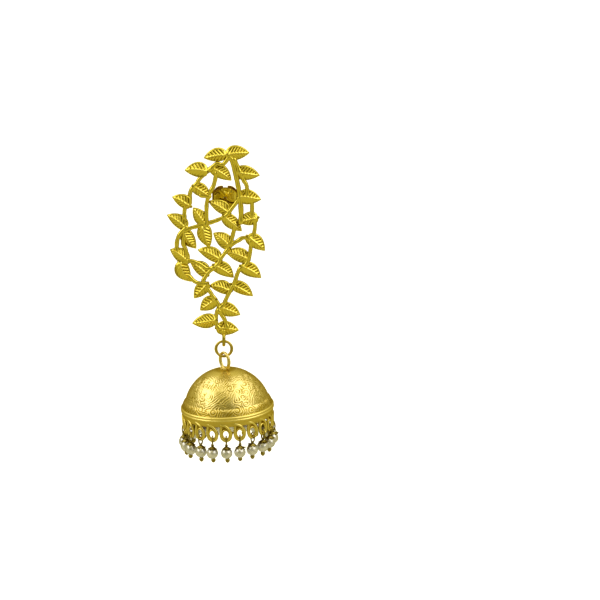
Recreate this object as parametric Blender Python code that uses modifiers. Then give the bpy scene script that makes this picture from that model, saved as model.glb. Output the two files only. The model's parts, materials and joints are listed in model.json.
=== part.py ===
"""A jhumka earring: a pierced panel of leaves, a jump ring, and a bell fringed with pearl drops.

Metres, +Z up, with the front towards -Y. The origin is where the ear post leaves the panel's back.
"""

import math
from collections import namedtuple

import bmesh
import bpy
from mathutils import Matrix, Vector

MM = 0.001

# Leaf panel
PANEL_WIDTH = 25.6 * MM
PANEL_HEIGHT = 52.6 * MM
LEAF_LENGTH = 6.15 * MM
LEAF_WIDTH = 3.3 * MM
LEAF_SEAT = 0.3 * MM
LEAF_RIM = 0.55 * MM
LEAF_RIDGE = 1.15 * MM
LEAF_LAYERS = 0.35 * MM
VINE_WIRE = 0.85 * MM
SPINE_WIRE = 1.0 * MM

# Ear post and clutch
POST_DIAMETER = 0.8 * MM
POST_LENGTH = 10.8 * MM
POST_GROOVE_DEPTH = 0.08 * MM
CLUTCH_WIDTH = 7.0 * MM
CLUTCH_HEIGHT = 5.8 * MM
CLUTCH_SHEET = 0.35 * MM
CLUTCH_CURL = 1.25 * MM
CLUTCH_REACH = 8.3 * MM
CLUTCH_PLAY = 0.12 * MM

# Panel's lower loop and the jump ring
EYELET_WIRE = 0.9 * MM
EYELET_NECK = 1.25 * MM
EYELET_HEIGHT = 3.05 * MM
EYELET_DEPTH = 1.9 * MM
RING_RADIUS = 2.1 * MM
RING_WIRE = 0.7 * MM
LINK_PLAY = 0.2 * MM

# Bell
BELL_LEAN = math.radians(3.2)
BELL_TURN = math.radians(-2.5)
EYE_WIRE = 0.8 * MM
EYE_HEIGHT = 4.3 * MM
EYE_WIDTH = 3.4 * MM
EYE_TURN = math.radians(-47)
DOME_RADIUS = 11.7 * MM
DOME_WALL = 0.55 * MM
SKIRT_RADIUS = 12.2 * MM
FLANGE_TOP = 3.6 * MM
SKIRT_DROP = 1.0 * MM
HOOP_COUNT = 20
HOOP_WIDTH = 3.3 * MM
HOOP_HEIGHT = 5.1 * MM
HOOP_REACH = 4.15 * MM
HOOP_SHEET = 0.45 * MM
HOOP_HOLE_WIDTH = 1.4 * MM
HOOP_HOLE_HEIGHT = 1.9 * MM
HOOP_SOLE = 1.1 * MM

# Pearl drops
PIN_WIRE = 0.38 * MM
PIN_LOOP_WIDTH = 1.6 * MM
PIN_LOOP_HEIGHT = 3.25 * MM
PIN_PLAY = 0.34 * MM
CAP_WIDTH = 2.1 * MM
CAP_HEIGHT = 0.9 * MM
PEARL_DIAMETER = 3.0 * MM
PEARL_BORE = 0.7 * MM
PEARL_PLAY = 0.12 * MM
KNOB_WIDTH = 1.15 * MM
KNOB_HEIGHT = 1.15 * MM

# Fineness of the round shapes
WIRE_SIDES_LEVEL = 1
LEAF_BANDS = 6
DOME_STEPS = 2 * HOOP_COUNT
PEARL_STEPS = 10
PIN_STEPS = 5
WELD = 0.00001

# The leaves take their layers in this stride, so that no two backs are level
LAYER_STRIDE = 7

# The post's place on the panel, as shares of its width and height from the lower left
POST_ACROSS = 0.596
POST_UP = 0.687
EYELET_ACROSS = 0.580

# Each leaf springs from (across, up) on the panel and points to turn degrees. Its length is a
# share of LEAF_LENGTH, and its width, and how far its middle bows to its left, of LEAF_WIDTH
Leaf = namedtuple("Leaf", "across up turn length width bow")
LEAVES = (
    Leaf(0.606, 0.955, -170, 0.99, 1.00, -0.06),
    Leaf(0.617, 0.955, 4, 1.00, 1.06, 0.06),
    Leaf(0.409, 0.866, 177, 0.98, 1.06, -0.09),
    Leaf(0.461, 0.882, -33, 1.03, 1.00, 0.12),
    Leaf(0.710, 0.861, -8, 1.06, 1.06, 0.03),
    Leaf(0.275, 0.787, -34, 0.87, 0.94, 0.06),
    Leaf(0.233, 0.687, 152, 0.89, 1.00, -0.10),
    Leaf(0.192, 0.571, 146, 1.02, 1.00, -0.12),
    Leaf(0.171, 0.555, -58, 1.00, 1.00, -0.10),
    Leaf(0.389, 0.592, 125, 0.92, 0.94, 0.00),
    Leaf(0.378, 0.582, -76, 1.03, 1.06, -0.10),
    Leaf(0.637, 0.650, 151, 1.04, 0.94, -0.10),
    Leaf(0.585, 0.629, -41, 1.04, 0.94, 0.02),
    Leaf(0.927, 0.624, -167, 0.86, 1.00, -0.02),
    Leaf(0.637, 0.471, 138, 0.94, 1.00, -0.10),
    Leaf(0.834, 0.524, -41, 0.99, 1.00, 0.08),
    Leaf(0.544, 0.403, 157, 1.08, 1.00, -0.14),
    Leaf(0.834, 0.403, 161, 1.06, 1.00, -0.12),
    Leaf(0.202, 0.392, 143, 0.96, 1.00, -0.12),
    Leaf(0.130, 0.392, -63, 1.03, 1.06, -0.16),
    Leaf(0.409, 0.324, 143, 0.93, 1.00, -0.12),
    Leaf(0.482, 0.371, -33, 1.03, 1.00, 0.14),
    Leaf(0.762, 0.366, -31, 1.03, 1.00, 0.12),
    Leaf(0.409, 0.276, -130, 0.91, 0.94, -0.04),
    Leaf(0.492, 0.192, -143, 0.85, 1.00, -0.04),
    Leaf(0.648, 0.239, 167, 0.96, 1.00, -0.14),
    Leaf(0.668, 0.271, -29, 1.06, 0.94, 0.12),
    Leaf(0.534, 0.150, -20, 0.99, 1.00, 0.06),
    Leaf(0.492, 0.087, -171, 1.04, 1.06, 0.02),
    Leaf(0.513, 0.039, -6, 0.96, 1.00, 0.06),
    Leaf(0.741, 0.734, -8, 0.99, 1.06, 0.04),
)
POST_LEAF = LEAVES[11]
LOWEST_LEAF = LEAVES[29]

# Each vine runs through points given as shares of the panel's width and height
VINES = {
    "spine": (
        (0.622, 0.955), (0.668, 0.924), (0.710, 0.845), (0.731, 0.792),
        (0.751, 0.734), (0.762, 0.661), (0.762, 0.603),
    ),
    "top_right": ((0.690, 0.930), (0.728, 0.893), (0.750, 0.860)),
    "middle_right": ((0.775, 0.850), (0.790, 0.818), (0.820, 0.792), (0.830, 0.735)),
    "right": ((0.868, 0.728), (0.876, 0.697), (0.876, 0.632)),
    "lower_right": ((0.888, 0.622), (0.908, 0.585), (0.885, 0.510)),
    "long_right": (
        (0.862, 0.500), (0.860, 0.460), (0.845, 0.418), (0.824, 0.387), (0.793, 0.366),
        (0.751, 0.355), (0.720, 0.324), (0.700, 0.290), (0.665, 0.258), (0.634, 0.226),
        (0.606, 0.197), (0.585, 0.171), (0.548, 0.150),
    ),
    "top_left": ((0.640, 0.942), (0.575, 0.903), (0.512, 0.908), (0.451, 0.878)),
    "outer_left": (
        (0.451, 0.880), (0.399, 0.858), (0.337, 0.829), (0.300, 0.800), (0.254, 0.776),
        (0.233, 0.745), (0.233, 0.710), (0.185, 0.680), (0.171, 0.625),
    ),
    "lower_left": ((0.192, 0.571), (0.130, 0.539), (0.100, 0.503), (0.093, 0.450)),
    "left_tip": ((0.218, 0.315), (0.295, 0.284), (0.405, 0.274)),
    "inner_left": (
        (0.510, 0.860), (0.482, 0.797), (0.451, 0.766), (0.425, 0.734), (0.409, 0.703),
        (0.404, 0.661), (0.402, 0.618), (0.392, 0.586),
    ),
    "crossing": (
        (0.751, 0.730), (0.699, 0.692), (0.658, 0.666), (0.620, 0.640), (0.565, 0.621),
        (0.503, 0.608), (0.440, 0.597), (0.378, 0.589), (0.316, 0.579), (0.254, 0.571),
        (0.180, 0.558),
    ),
    "short": ((0.695, 0.590), (0.690, 0.560), (0.650, 0.485)),
    "long_middle": (
        (0.850, 0.515), (0.782, 0.518), (0.731, 0.503), (0.679, 0.487), (0.627, 0.461),
        (0.590, 0.435), (0.554, 0.412), (0.528, 0.385), (0.482, 0.361), (0.430, 0.340),
        (0.378, 0.303), (0.370, 0.285), (0.395, 0.268), (0.430, 0.239), (0.472, 0.208),
        (0.515, 0.175), (0.530, 0.150), (0.510, 0.130), (0.500, 0.100), (0.505, 0.060),
        (0.530, 0.040),
    ),
    "low_strut": ((0.525, 0.135), (0.560, 0.110), (0.590, 0.085), (0.617, 0.045)),
    "left_strut": ((0.180, 0.550), (0.160, 0.490), (0.190, 0.450), (0.195, 0.392)),
    "along": ((0.125, 0.386), (0.233, 0.395), (0.337, 0.378), (0.409, 0.355), (0.482, 0.361)),
    "left_inner": ((0.430, 0.735), (0.350, 0.742)),
}

# The dome's rim below the flange's top, outside: each point's reach from DOME_RADIUS to
# SKIRT_RADIUS, and its height as a share of FLANGE_TOP
RimPoint = namedtuple("RimPoint", "reach height")
RIM = (
    RimPoint(-0.10, 0.83),
    RimPoint(0.55, 0.63),
    RimPoint(1.00, 0.45),
    RimPoint(1.40, 0.38),
    RimPoint(1.10, 0.29),
    RimPoint(1.40, 0.20),
    RimPoint(1.00, 0.12),
)

# How far each drop is turned about its own length, in degrees, from the front one round
DROP_TURNS = (0, -8, 14, -5, 10, 4, -12, 8, -3, 12, -9, 6, 15, -6, 3, -14, 9, 5, -15, 18)

Finish = namedtuple("Finish", "colour roughness metallic")
PANEL_GOLD = Finish((0.72, 0.52, 0.08), 0.28, 1.0)
BELL_GOLD = Finish((0.76, 0.60, 0.20), 0.22, 1.0)
WIRE_GOLD = Finish((0.46, 0.36, 0.07), 0.32, 1.0)
PEARL_GREY = Finish((0.66, 0.66, 0.58), 0.22, 0.0)


# Scene and materials
def clear_scene():
    for obj in list(bpy.data.objects):
        bpy.data.objects.remove(obj, do_unlink=True)


def new_collection(name):
    collection = bpy.data.collections.new(name)
    bpy.context.scene.collection.children.link(collection)
    return collection


def material(name, finish):
    made = bpy.data.materials.new(name)
    made.use_nodes = True
    shader = made.node_tree.nodes["Principled BSDF"]
    shader.inputs["Base Color"].default_value = (*finish.colour, 1)
    shader.inputs["Roughness"].default_value = finish.roughness
    shader.inputs["Metallic"].default_value = finish.metallic
    made.diffuse_color = (*finish.colour, 1)
    return made


def place(name, mesh, collection, matrix=None, finish=None, parent=None):
    """An object of this mesh at matrix, smooth but for its sharp edges."""
    obj = bpy.data.objects.new(name, mesh)
    collection.objects.link(obj)
    obj.parent = parent
    obj.matrix_basis = matrix or Matrix()
    mesh.shade_smooth()
    mesh.set_sharp_from_angle(angle=math.radians(35))
    if finish:
        mesh.materials.append(material(name, finish))
    return obj


def helper(name, mesh, collection, matrix=None, parent=None):
    """A piece that a Boolean takes in, hidden from the render."""
    obj = place(name, mesh, collection, matrix, None, parent)
    obj.hide_render = True
    obj.display_type = "WIRE"
    return obj


def boolean(obj, name, operation, other):
    made = obj.modifiers.new(name, "BOOLEAN")
    made.operation = operation
    made.solver = "EXACT"
    if isinstance(other, bpy.types.Collection):
        made.operand_type = "COLLECTION"
        made.collection = other
    else:
        made.object = other
    return made


# Basic shapes
def mesh_of(obj):
    """The evaluated mesh of a helper object, which is then removed."""
    graph = bpy.context.evaluated_depsgraph_get()
    mesh = bpy.data.meshes.new_from_object(obj.evaluated_get(graph))
    bpy.data.objects.remove(obj, do_unlink=True)
    shape = bmesh.new()
    shape.from_mesh(mesh)
    bmesh.ops.remove_doubles(shape, verts=shape.verts, dist=WELD / 10)
    bmesh.ops.recalc_face_normals(shape, faces=shape.faces)
    shape.to_mesh(mesh)
    shape.free()
    return mesh


def curve_mesh(points_of_splines, cyclic, **settings):
    curve = bpy.data.curves.new("wire", "CURVE")
    for setting, value in settings.items():
        setattr(curve, setting, value)
    for points in points_of_splines:
        spline = curve.splines.new("POLY")
        spline.points.add(len(points) - 1)
        for point, place_of in zip(spline.points, points):
            point.co = (*place_of, 1)
        spline.use_cyclic_u = cyclic
    obj = bpy.data.objects.new("wire", curve)
    bpy.context.scene.collection.objects.link(obj)
    return mesh_of(obj)


def wire(points, thickness, cyclic=False):
    """Round wire along these points."""
    return curve_mesh(
        [points], cyclic, dimensions="3D", bevel_depth=thickness / 2,
        bevel_resolution=WIRE_SIDES_LEVEL, use_fill_caps=not cyclic,
    )


def oval(across, up, width, height, count):
    """Points round an oval in the plane of the two directions, centred on the origin."""
    return [
        across * (width / 2 * math.sin(turn)) + up * (height / 2 * math.cos(turn))
        for turn in (math.tau * k / count for k in range(count))
    ]


def turned(profile, steps):
    """A solid turned about Z from (radius, height) points, run from top to bottom outside."""
    mesh = bpy.data.meshes.new("turned")
    shape = bmesh.new()
    corners = [shape.verts.new((radius, 0, height)) for radius, height in profile]
    for upper, lower in zip(corners, corners[1:]):
        shape.edges.new((upper, lower))
    if profile[0][0] > 0:
        shape.edges.new((corners[-1], corners[0]))
    shape.to_mesh(mesh)
    shape.free()
    obj = bpy.data.objects.new("turned", mesh)
    bpy.context.scene.collection.objects.link(obj)
    screw = obj.modifiers.new("Turn", "SCREW")
    screw.axis = "Z"
    screw.angle = math.tau
    screw.steps = screw.render_steps = steps
    screw.use_merge_vertices = True
    screw.merge_threshold = WELD
    return mesh_of(obj)


def arc(radius, start, end, count):
    """(radius, height) points on a circle, start and end as degrees above the level."""
    angles = [math.radians(start + (end - start) * k / count) for k in range(count + 1)]
    return [(radius * math.cos(angle), radius * math.sin(angle)) for angle in angles]


# Leaf panel
def on_panel(across, up, depth=0.0):
    return Vector((
        (across - POST_ACROSS) * PANEL_WIDTH,
        -depth,
        (up - POST_UP) * PANEL_HEIGHT,
    ))


def leaf_mesh(bow):
    """A leaf one unit long and wide along +X, flat behind, with a ridge along its middle."""
    shape = bmesh.new()
    bmesh.ops.create_uvsphere(shape, u_segments=6, v_segments=LEAF_BANDS, radius=1)
    quarter = math.radians(30)
    for vert in shape.verts:
        along = (1 - vert.co.z) / 2
        round_it = math.atan2(vert.co.y, vert.co.x) + quarter
        spread = math.hypot(vert.co.x, vert.co.y)
        full = math.sin(math.pi * along**0.72) ** 0.75 if 0 < along < 1 else 0
        side = math.cos(round_it) / math.cos(quarter) if spread > 0.01 else 0
        ridge = max(0.0, 1 - abs(side))
        front = LEAF_RIM + (LEAF_RIDGE - LEAF_RIM) * ridge * full
        is_front = math.sin(round_it) > 0
        depth = front if is_front else 0.0
        if spread <= 0.01:
            depth = LEAF_RIM / 2
        vert.co = (along, -depth, side * full / 2 + bow * 4 * along * (1 - along))
    mesh = bpy.data.meshes.new("leaf")
    bmesh.ops.recalc_face_normals(shape, faces=shape.faces)
    shape.to_mesh(mesh)
    shape.free()
    return mesh


def layer(number):
    """How far forward a leaf lies: each a little differently, with the post's own at 0.

    A vine takes a half number, so that its back is level with no leaf's.
    """
    return LEAF_LAYERS * ((number - LEAVES.index(POST_LEAF)) * LAYER_STRIDE % len(LEAVES)) / len(LEAVES)


def leaf_matrix(number):
    """The leaf's base lies LEAF_SEAT inside its vine."""
    leaf = LEAVES[number]
    size = Matrix.Diagonal((LEAF_LENGTH * leaf.length, 1, LEAF_WIDTH * leaf.width, 1))
    turn = Matrix.Rotation(math.radians(-leaf.turn), 4, "Y")
    seat = Matrix.Translation((-LEAF_SEAT, 0, 0))
    return Matrix.Translation(on_panel(leaf.across, leaf.up, layer(number))) @ turn @ seat @ size


def eyelet_top():
    """The middle of the loop's wire where it meets the lowest leaf."""
    leaf_middle = on_panel(EYELET_ACROSS, LOWEST_LEAF.up - 0.012, LEAF_RIM)
    return leaf_middle - Vector((0, 0, LEAF_WIDTH * 0.26))


def eyelet_points():
    middle = eyelet_top() - Vector((0, 0, EYELET_HEIGHT / 2))
    ring = oval(Vector((0, 1, 0)), Vector((0, 0, 1)), EYELET_DEPTH, EYELET_HEIGHT, 12)
    return [middle + point for point in ring]


def post_mesh():
    radius = POST_DIAMETER / 2
    waist = radius - POST_GROOVE_DEPTH
    profile = [
        (0, POST_LENGTH), (radius * 0.6, POST_LENGTH), (radius, POST_LENGTH - radius * 0.5),
        (radius, POST_LENGTH - 3 * radius), (waist, POST_LENGTH - 3.5 * radius),
        (radius, POST_LENGTH - 4 * radius), (radius, -LEAF_RIM / 2), (0, -LEAF_RIM / 2),
    ]
    return turned(profile, 12)


def leaf_panel(collection, pieces):
    first = leaf_mesh(LEAVES[0].bow)
    panel = place("leaf_panel", first, collection, leaf_matrix(0), PANEL_GOLD)
    for number in range(1, len(LEAVES)):
        leaf = leaf_mesh(LEAVES[number].bow)
        helper(f"leaf_{number + 1:02d}", leaf, pieces, leaf_matrix(number))
    for number, (name, shares) in enumerate(VINES.items()):
        thickness = SPINE_WIRE if name == "spine" else VINE_WIRE
        depth = VINE_WIRE / 2 + layer(number + 0.5) / 2
        points = [on_panel(across, up, depth) for across, up in shares]
        helper(f"vine_{name}", wire(points, thickness), pieces)
    neck = [
        eyelet_top() + Vector((0, 0, LEAF_WIDTH * 0.25)),
        eyelet_top() - Vector((0, 0, EYELET_WIRE * 0.2)),
    ]
    helper("eyelet_neck", wire(neck, EYELET_NECK), pieces)
    helper("eyelet", wire(eyelet_points(), EYELET_WIRE, cyclic=True), pieces)
    helper("ear_post", post_mesh(), pieces, Matrix.Rotation(math.radians(-90), 4, "X"))
    boolean(panel, "Solder", "UNION", pieces)


# Clutch
def clutch_line():
    """The bent strip seen from above, from the left curl's end to the right one's."""
    post_gap = POST_DIAMETER / 2 + CLUTCH_PLAY + CLUTCH_SHEET / 2
    flat = CLUTCH_WIDTH / 2 - CLUTCH_CURL - CLUTCH_SHEET / 2
    curl = [
        (flat + CLUTCH_CURL * math.sin(turn), CLUTCH_CURL * (1 - math.cos(turn)))
        for turn in (math.radians(degrees) for degrees in range(0, 211, 30))
    ]
    end = (post_gap, curl[-1][1] - CLUTCH_CURL * 0.45)
    right = curl + [end]
    left = [(-x, y) for x, y in reversed(right)]
    return left + right


def ear_clutch(collection, cutters):
    line = [Vector((x, y, 0)) for x, y in clutch_line()]
    strip = curve_mesh([line], False, dimensions="3D", extrude=CLUTCH_HEIGHT / 2)
    carrier = Matrix.Translation((0, CLUTCH_REACH - CLUTCH_CURL, 0))
    clutch = place("ear_clutch", strip, collection, carrier, WIRE_GOLD)
    sheet = clutch.modifiers.new("Sheet", "SOLIDIFY")
    sheet.thickness = CLUTCH_SHEET
    sheet.offset = 0
    upright = Matrix.Rotation(math.radians(-90), 4, "X")
    deep = CLUTCH_CURL * 4
    outline = turned([(0, deep), (0.5, deep), (0.5, -deep), (0, -deep)], 20)
    size = Matrix.Diagonal((CLUTCH_WIDTH * 1.02, CLUTCH_HEIGHT, 1, 1))
    cutter = helper("clutch_outline", outline, cutters, carrier @ upright @ size)
    boolean(clutch, "Rounded", "INTERSECT", cutter)
    bore = POST_DIAMETER / 2 + CLUTCH_PLAY
    drill = turned([(0, deep), (bore, deep), (bore, -deep), (0, -deep)], 12)
    boolean(clutch, "Bore", "DIFFERENCE", helper("clutch_bore", drill, cutters, carrier @ upright))


# Jump ring
def ring_centre():
    """The ring's top hangs inside the panel's loop, LINK_PLAY above the loop's lower wire."""
    loop_bottom = eyelet_top() - Vector((0, 0, EYELET_HEIGHT))
    rise = EYELET_WIRE / 2 + LINK_PLAY + RING_WIRE / 2
    return loop_bottom + Vector((0, 0, rise - RING_RADIUS))


def jump_ring(collection):
    across, up = Vector((1, 0, 0)), Vector((0, 0, 1))
    points = oval(across, up, 2 * RING_RADIUS, 2 * RING_RADIUS, 20)
    ring = wire(points, RING_WIRE, cyclic=True)
    place("jump_ring", ring, collection, Matrix.Translation(ring_centre()), BELL_GOLD)


# Bell, in its own frame: Z along its axis, with 0 at the jump ring's centre
def eye_top():
    return -(RING_RADIUS - RING_WIRE / 2 - LINK_PLAY) + EYE_WIRE / 2


def dome_height():
    """The height of the dome's centre, below the eye that is soldered into its top."""
    return eye_top() - EYE_HEIGHT - DOME_RADIUS


def dome_mesh():
    flange = math.degrees(math.asin(FLANGE_TOP / DOME_RADIUS))
    inside = DOME_RADIUS - DOME_WALL
    rim = [
        (DOME_RADIUS + (SKIRT_RADIUS - DOME_RADIUS) * point.reach, FLANGE_TOP * point.height)
        for point in RIM
    ]
    skirt_inside = SKIRT_RADIUS - DOME_WALL
    profile = (
        arc(DOME_RADIUS, 90, flange, 6)
        + rim
        + [(SKIRT_RADIUS, -SKIRT_DROP), (skirt_inside, -SKIRT_DROP), (skirt_inside, FLANGE_TOP / 3)]
        + arc(inside, flange * 0.8, 90, 5)
    )
    profile[0] = (0, DOME_RADIUS)
    profile[-1] = (0, inside)
    return turned(profile, DOME_STEPS)


def hoop_radius():
    """The middle of a hoop's sheet, a little inside the skirt's outer face."""
    return SKIRT_RADIUS - HOOP_SHEET / 2 - DOME_WALL * 0.2


def hoop_bottom():
    return -SKIRT_DROP - HOOP_REACH


def hoop_mesh():
    """A pierced oval in the XZ plane, with its lowest point at the origin."""
    across, up = Vector((1, 0, 0)), Vector((0, 1, 0))
    outer = oval(across, up, HOOP_WIDTH, HOOP_HEIGHT, 12)
    hole = oval(across, up, HOOP_HOLE_WIDTH, HOOP_HOLE_HEIGHT, 8)
    outer = [point + up * (HOOP_HEIGHT / 2) for point in outer]
    hole = [point + up * (HOOP_SOLE + HOOP_HOLE_HEIGHT / 2) for point in hole]
    mesh = curve_mesh(
        [outer, hole], True, dimensions="2D", fill_mode="BOTH", extrude=HOOP_SHEET / 2
    )
    mesh.transform(Matrix.Rotation(math.radians(90), 4, "X"))
    return mesh


def around(index, radius, height):
    """The frame of one hoop: its own X along the rim, and Y inwards."""
    turn = Matrix.Rotation(BELL_TURN + math.tau * index / HOOP_COUNT, 4, "Z")
    return turn @ Matrix.Translation((0, -radius, height))


def bell(collection, pieces, carrier):
    base = Matrix.Translation((0, 0, dome_height()))
    dome = place("bell", dome_mesh(), collection, base, BELL_GOLD, carrier)
    hoop = hoop_mesh()
    for index in range(HOOP_COUNT):
        matrix = base @ around(index, hoop_radius(), hoop_bottom())
        helper(f"hoop_{index + 1:02d}", hoop, pieces, matrix, carrier)
    direction = Vector((math.cos(EYE_TURN), math.sin(EYE_TURN), 0))
    middle = Vector((0, 0, eye_top() - EYE_HEIGHT / 2))
    ring = oval(direction, Vector((0, 0, 1)), EYE_WIDTH, EYE_HEIGHT, 14)
    eye = wire([middle + point for point in ring], EYE_WIRE, cyclic=True)
    helper("eye", eye, pieces, None, carrier)
    boolean(dome, "Solder", "UNION", pieces)


# Pearl drops: each hangs straight down from the bottom of its hoop's hole, at the origin
def loop_top():
    """The middle of the loop's wire, just above the metal that it hangs on."""
    return PIN_PLAY + PIN_WIRE / 2


def loop_bottom():
    return loop_top() - (PIN_LOOP_HEIGHT - PIN_WIRE)


def pearl_centre():
    cap_top = loop_bottom()
    rise = math.sqrt(max(0.0, PEARL_DIAMETER**2 - CAP_WIDTH**2)) / 2
    return cap_top - CAP_HEIGHT - PEARL_PLAY - rise + PIN_WIRE / 2


def loop_mesh():
    across, up = Vector((0, 1, 0)), Vector((0, 0, 1))
    width, height = PIN_LOOP_WIDTH - PIN_WIRE, PIN_LOOP_HEIGHT - PIN_WIRE
    middle = Vector((0, 0, loop_top() - height / 2))
    return wire([middle + point for point in oval(across, up, width, height, 10)], PIN_WIRE, True)


def shank_mesh():
    """The cap, the wire through the pearl and the end knob."""
    shank = PIN_WIRE / 2
    centre = pearl_centre()
    top = centre + PEARL_DIAMETER / 2 + PEARL_PLAY
    bottom = centre - PEARL_DIAMETER / 2 - PEARL_PLAY
    cap_bottom = loop_bottom() + shank - CAP_HEIGHT
    profile = [
        (0, loop_bottom() + shank * 0.5),
        (shank * 2, loop_bottom() + shank * 0.3),
        (CAP_WIDTH / 2, cap_bottom),
        (shank, top),
        (shank, bottom),
        (KNOB_WIDTH / 2, bottom - KNOB_HEIGHT * 0.3),
        (KNOB_WIDTH / 2, bottom - KNOB_HEIGHT * 0.6),
        (0, bottom - KNOB_HEIGHT),
    ]
    return turned(profile, PIN_STEPS)


def pearl_mesh():
    radius = PEARL_DIAMETER / 2
    end = math.degrees(math.acos(PEARL_BORE / PEARL_DIAMETER))
    return turned(arc(radius, end, -end, 4), PEARL_STEPS)


def drop_matrix(carrier, index):
    """Upright in the world, on the hole of its hoop in the leaning bell."""
    base = Matrix.Translation((0, 0, dome_height()))
    seat = around(index, hoop_radius(), hoop_bottom() + HOOP_SOLE)
    at = (carrier.matrix_world @ base @ seat).translation
    own = math.radians(DROP_TURNS[index % len(DROP_TURNS)])
    turn = BELL_TURN + math.tau * index / HOOP_COUNT + own
    return Matrix.Translation(at) @ Matrix.Rotation(turn, 4, "Z")


def drops(collection, cutters, carrier):
    loop, shank, pearl = loop_mesh(), shank_mesh(), pearl_mesh()
    for index in range(HOOP_COUNT):
        matrix = drop_matrix(carrier, index)
        number = f"{index + 1:02d}"
        pin = place(f"head_pin_{number}", shank.copy(), collection, matrix, WIRE_GOLD)
        boolean(pin, "Solder", "UNION", helper(f"pin_loop_{number}", loop, cutters, matrix))
        centre = Matrix.Translation((0, 0, pearl_centre()))
        place(f"pearl_{number}", pearl.copy(), collection, matrix @ centre, PEARL_GREY)


def main():
    clear_scene()
    earring = new_collection("Earring")
    cutters = new_collection("Cutters")
    panel_pieces = new_collection("Panel pieces")
    bell_pieces = new_collection("Bell pieces")
    carrier = bpy.data.objects.new("bell_hinge", None)
    earring.objects.link(carrier)
    carrier.location = ring_centre()
    carrier.rotation_euler = (0, -BELL_LEAN, 0)
    bpy.context.view_layer.update()
    leaf_panel(earring, panel_pieces)
    ear_clutch(earring, cutters)
    jump_ring(earring)
    bell(earring, bell_pieces, carrier)
    drops(earring, cutters, carrier)


main()
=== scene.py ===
"""The looks of a jhumka earring: gilt leaves and vines, an engraved bell, wire hoops and pearl drops.

Metres, +Z up, with the front towards -Y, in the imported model's own frame.
"""

import json
import math
import random
from collections import namedtuple

import bmesh
import bpy
import numpy as np
from mathutils import Matrix, Vector, noise

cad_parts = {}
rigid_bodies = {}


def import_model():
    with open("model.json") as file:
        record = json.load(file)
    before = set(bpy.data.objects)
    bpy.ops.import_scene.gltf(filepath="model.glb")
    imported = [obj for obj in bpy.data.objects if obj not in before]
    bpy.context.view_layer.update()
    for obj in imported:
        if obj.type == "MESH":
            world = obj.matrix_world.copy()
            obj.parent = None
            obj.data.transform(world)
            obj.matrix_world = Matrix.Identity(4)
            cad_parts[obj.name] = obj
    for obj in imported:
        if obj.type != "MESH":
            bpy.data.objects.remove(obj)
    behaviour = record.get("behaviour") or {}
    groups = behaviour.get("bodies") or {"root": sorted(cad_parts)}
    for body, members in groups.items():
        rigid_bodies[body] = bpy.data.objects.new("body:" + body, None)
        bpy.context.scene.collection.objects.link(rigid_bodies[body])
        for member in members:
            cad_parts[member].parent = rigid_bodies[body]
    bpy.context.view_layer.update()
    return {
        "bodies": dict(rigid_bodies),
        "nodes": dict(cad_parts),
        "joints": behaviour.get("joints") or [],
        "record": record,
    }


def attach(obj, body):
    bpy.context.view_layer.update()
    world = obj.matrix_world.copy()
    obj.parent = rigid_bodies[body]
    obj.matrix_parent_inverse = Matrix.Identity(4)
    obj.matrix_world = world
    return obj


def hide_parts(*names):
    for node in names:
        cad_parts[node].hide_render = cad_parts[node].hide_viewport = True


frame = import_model()

MM = 0.001

# Photograph: its size in pixels, its scale, the origin's place in it and the camera's rise
PHOTO_SIDE = 600
PIXELS_PER_MM = 3.77
ORIGIN_PIXEL = (225.0, 205.0)
CAMERA_RISE = math.radians(16.7)
CAMERA_DISTANCE = 2.0
SENSOR = 36.0

# Leaf panel
PANEL_WIDTH = 25.6 * MM
PANEL_HEIGHT = 52.6 * MM
LEAF_LENGTH = 6.15 * MM
LEAF_WIDTH = 3.3 * MM
LEAF_SEAT = 0.3 * MM
LEAF_RIM = 0.55 * MM
LEAF_RIDGE = 1.15 * MM
LEAF_LAYERS = 0.35 * MM
LAYER_STRIDE = 7
VINE_WIRE = 0.85 * MM
SPINE_WIRE = 1.0 * MM
POST_ACROSS = 0.596
POST_UP = 0.687
EYELET_ACROSS = 0.580

# The leaves' and vines' cast edges, as shares of their plain sizes, and the struck relief
LEAF_FULLNESS = 1.19
LEAF_STRETCH = 1.03
LEAF_TILT = 11.0
VINE_FULLNESS = 1.34
VEIN_PITCH = 0.86 * MM
VEIN_HEIGHT = 0.32 * MM
VEIN_SLANT = 0.75
MIDRIB_WIDTH = 0.16 * MM
MIDRIB_HEIGHT = 0.12 * MM
EDGE_HEIGHT = 0.12 * MM
EDGE_PLACE = 0.2 * MM
EDGE_WIDTH = 0.12 * MM
EDGE_ROUNDING = 0.16 * MM
BACK_HOLLOW = 0.16 * MM
LEAF_ROWS = 62
LEAF_COLUMNS = 30
BACK_COLUMNS = 8
STALK_REACH = 0.36
STALK_TAIL = 0.35 * MM
STALK_RADIUS = 0.42 * MM
STALK_TAPER = 0.3 * MM

# Where the veins start and are full: out from the midrib, in from the edge, and as shares of the
# leaf's length from its stalk and from its tip. The lower half's are shallower, by these shares
VEINS_FROM_MIDRIB = (0.12 * MM, 0.32 * MM)
VEINS_FROM_EDGE = (0.24 * MM, 0.5 * MM)
VEINS_FROM_STALK = (0.08, 0.2)
VEINS_FROM_TIP = (0.05, 0.16)
LOWER_VEINS = (0.35, 0.6)

# The vines' unevenness: how far they wander, their lumps, and how they spread where they join
VINE_WANDER = 0.07 * MM
VINE_LUMPS = 0.15
VINE_SPREAD = 0.3
VINE_JOINT = (0.2 * MM, 1.3 * MM)

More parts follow.
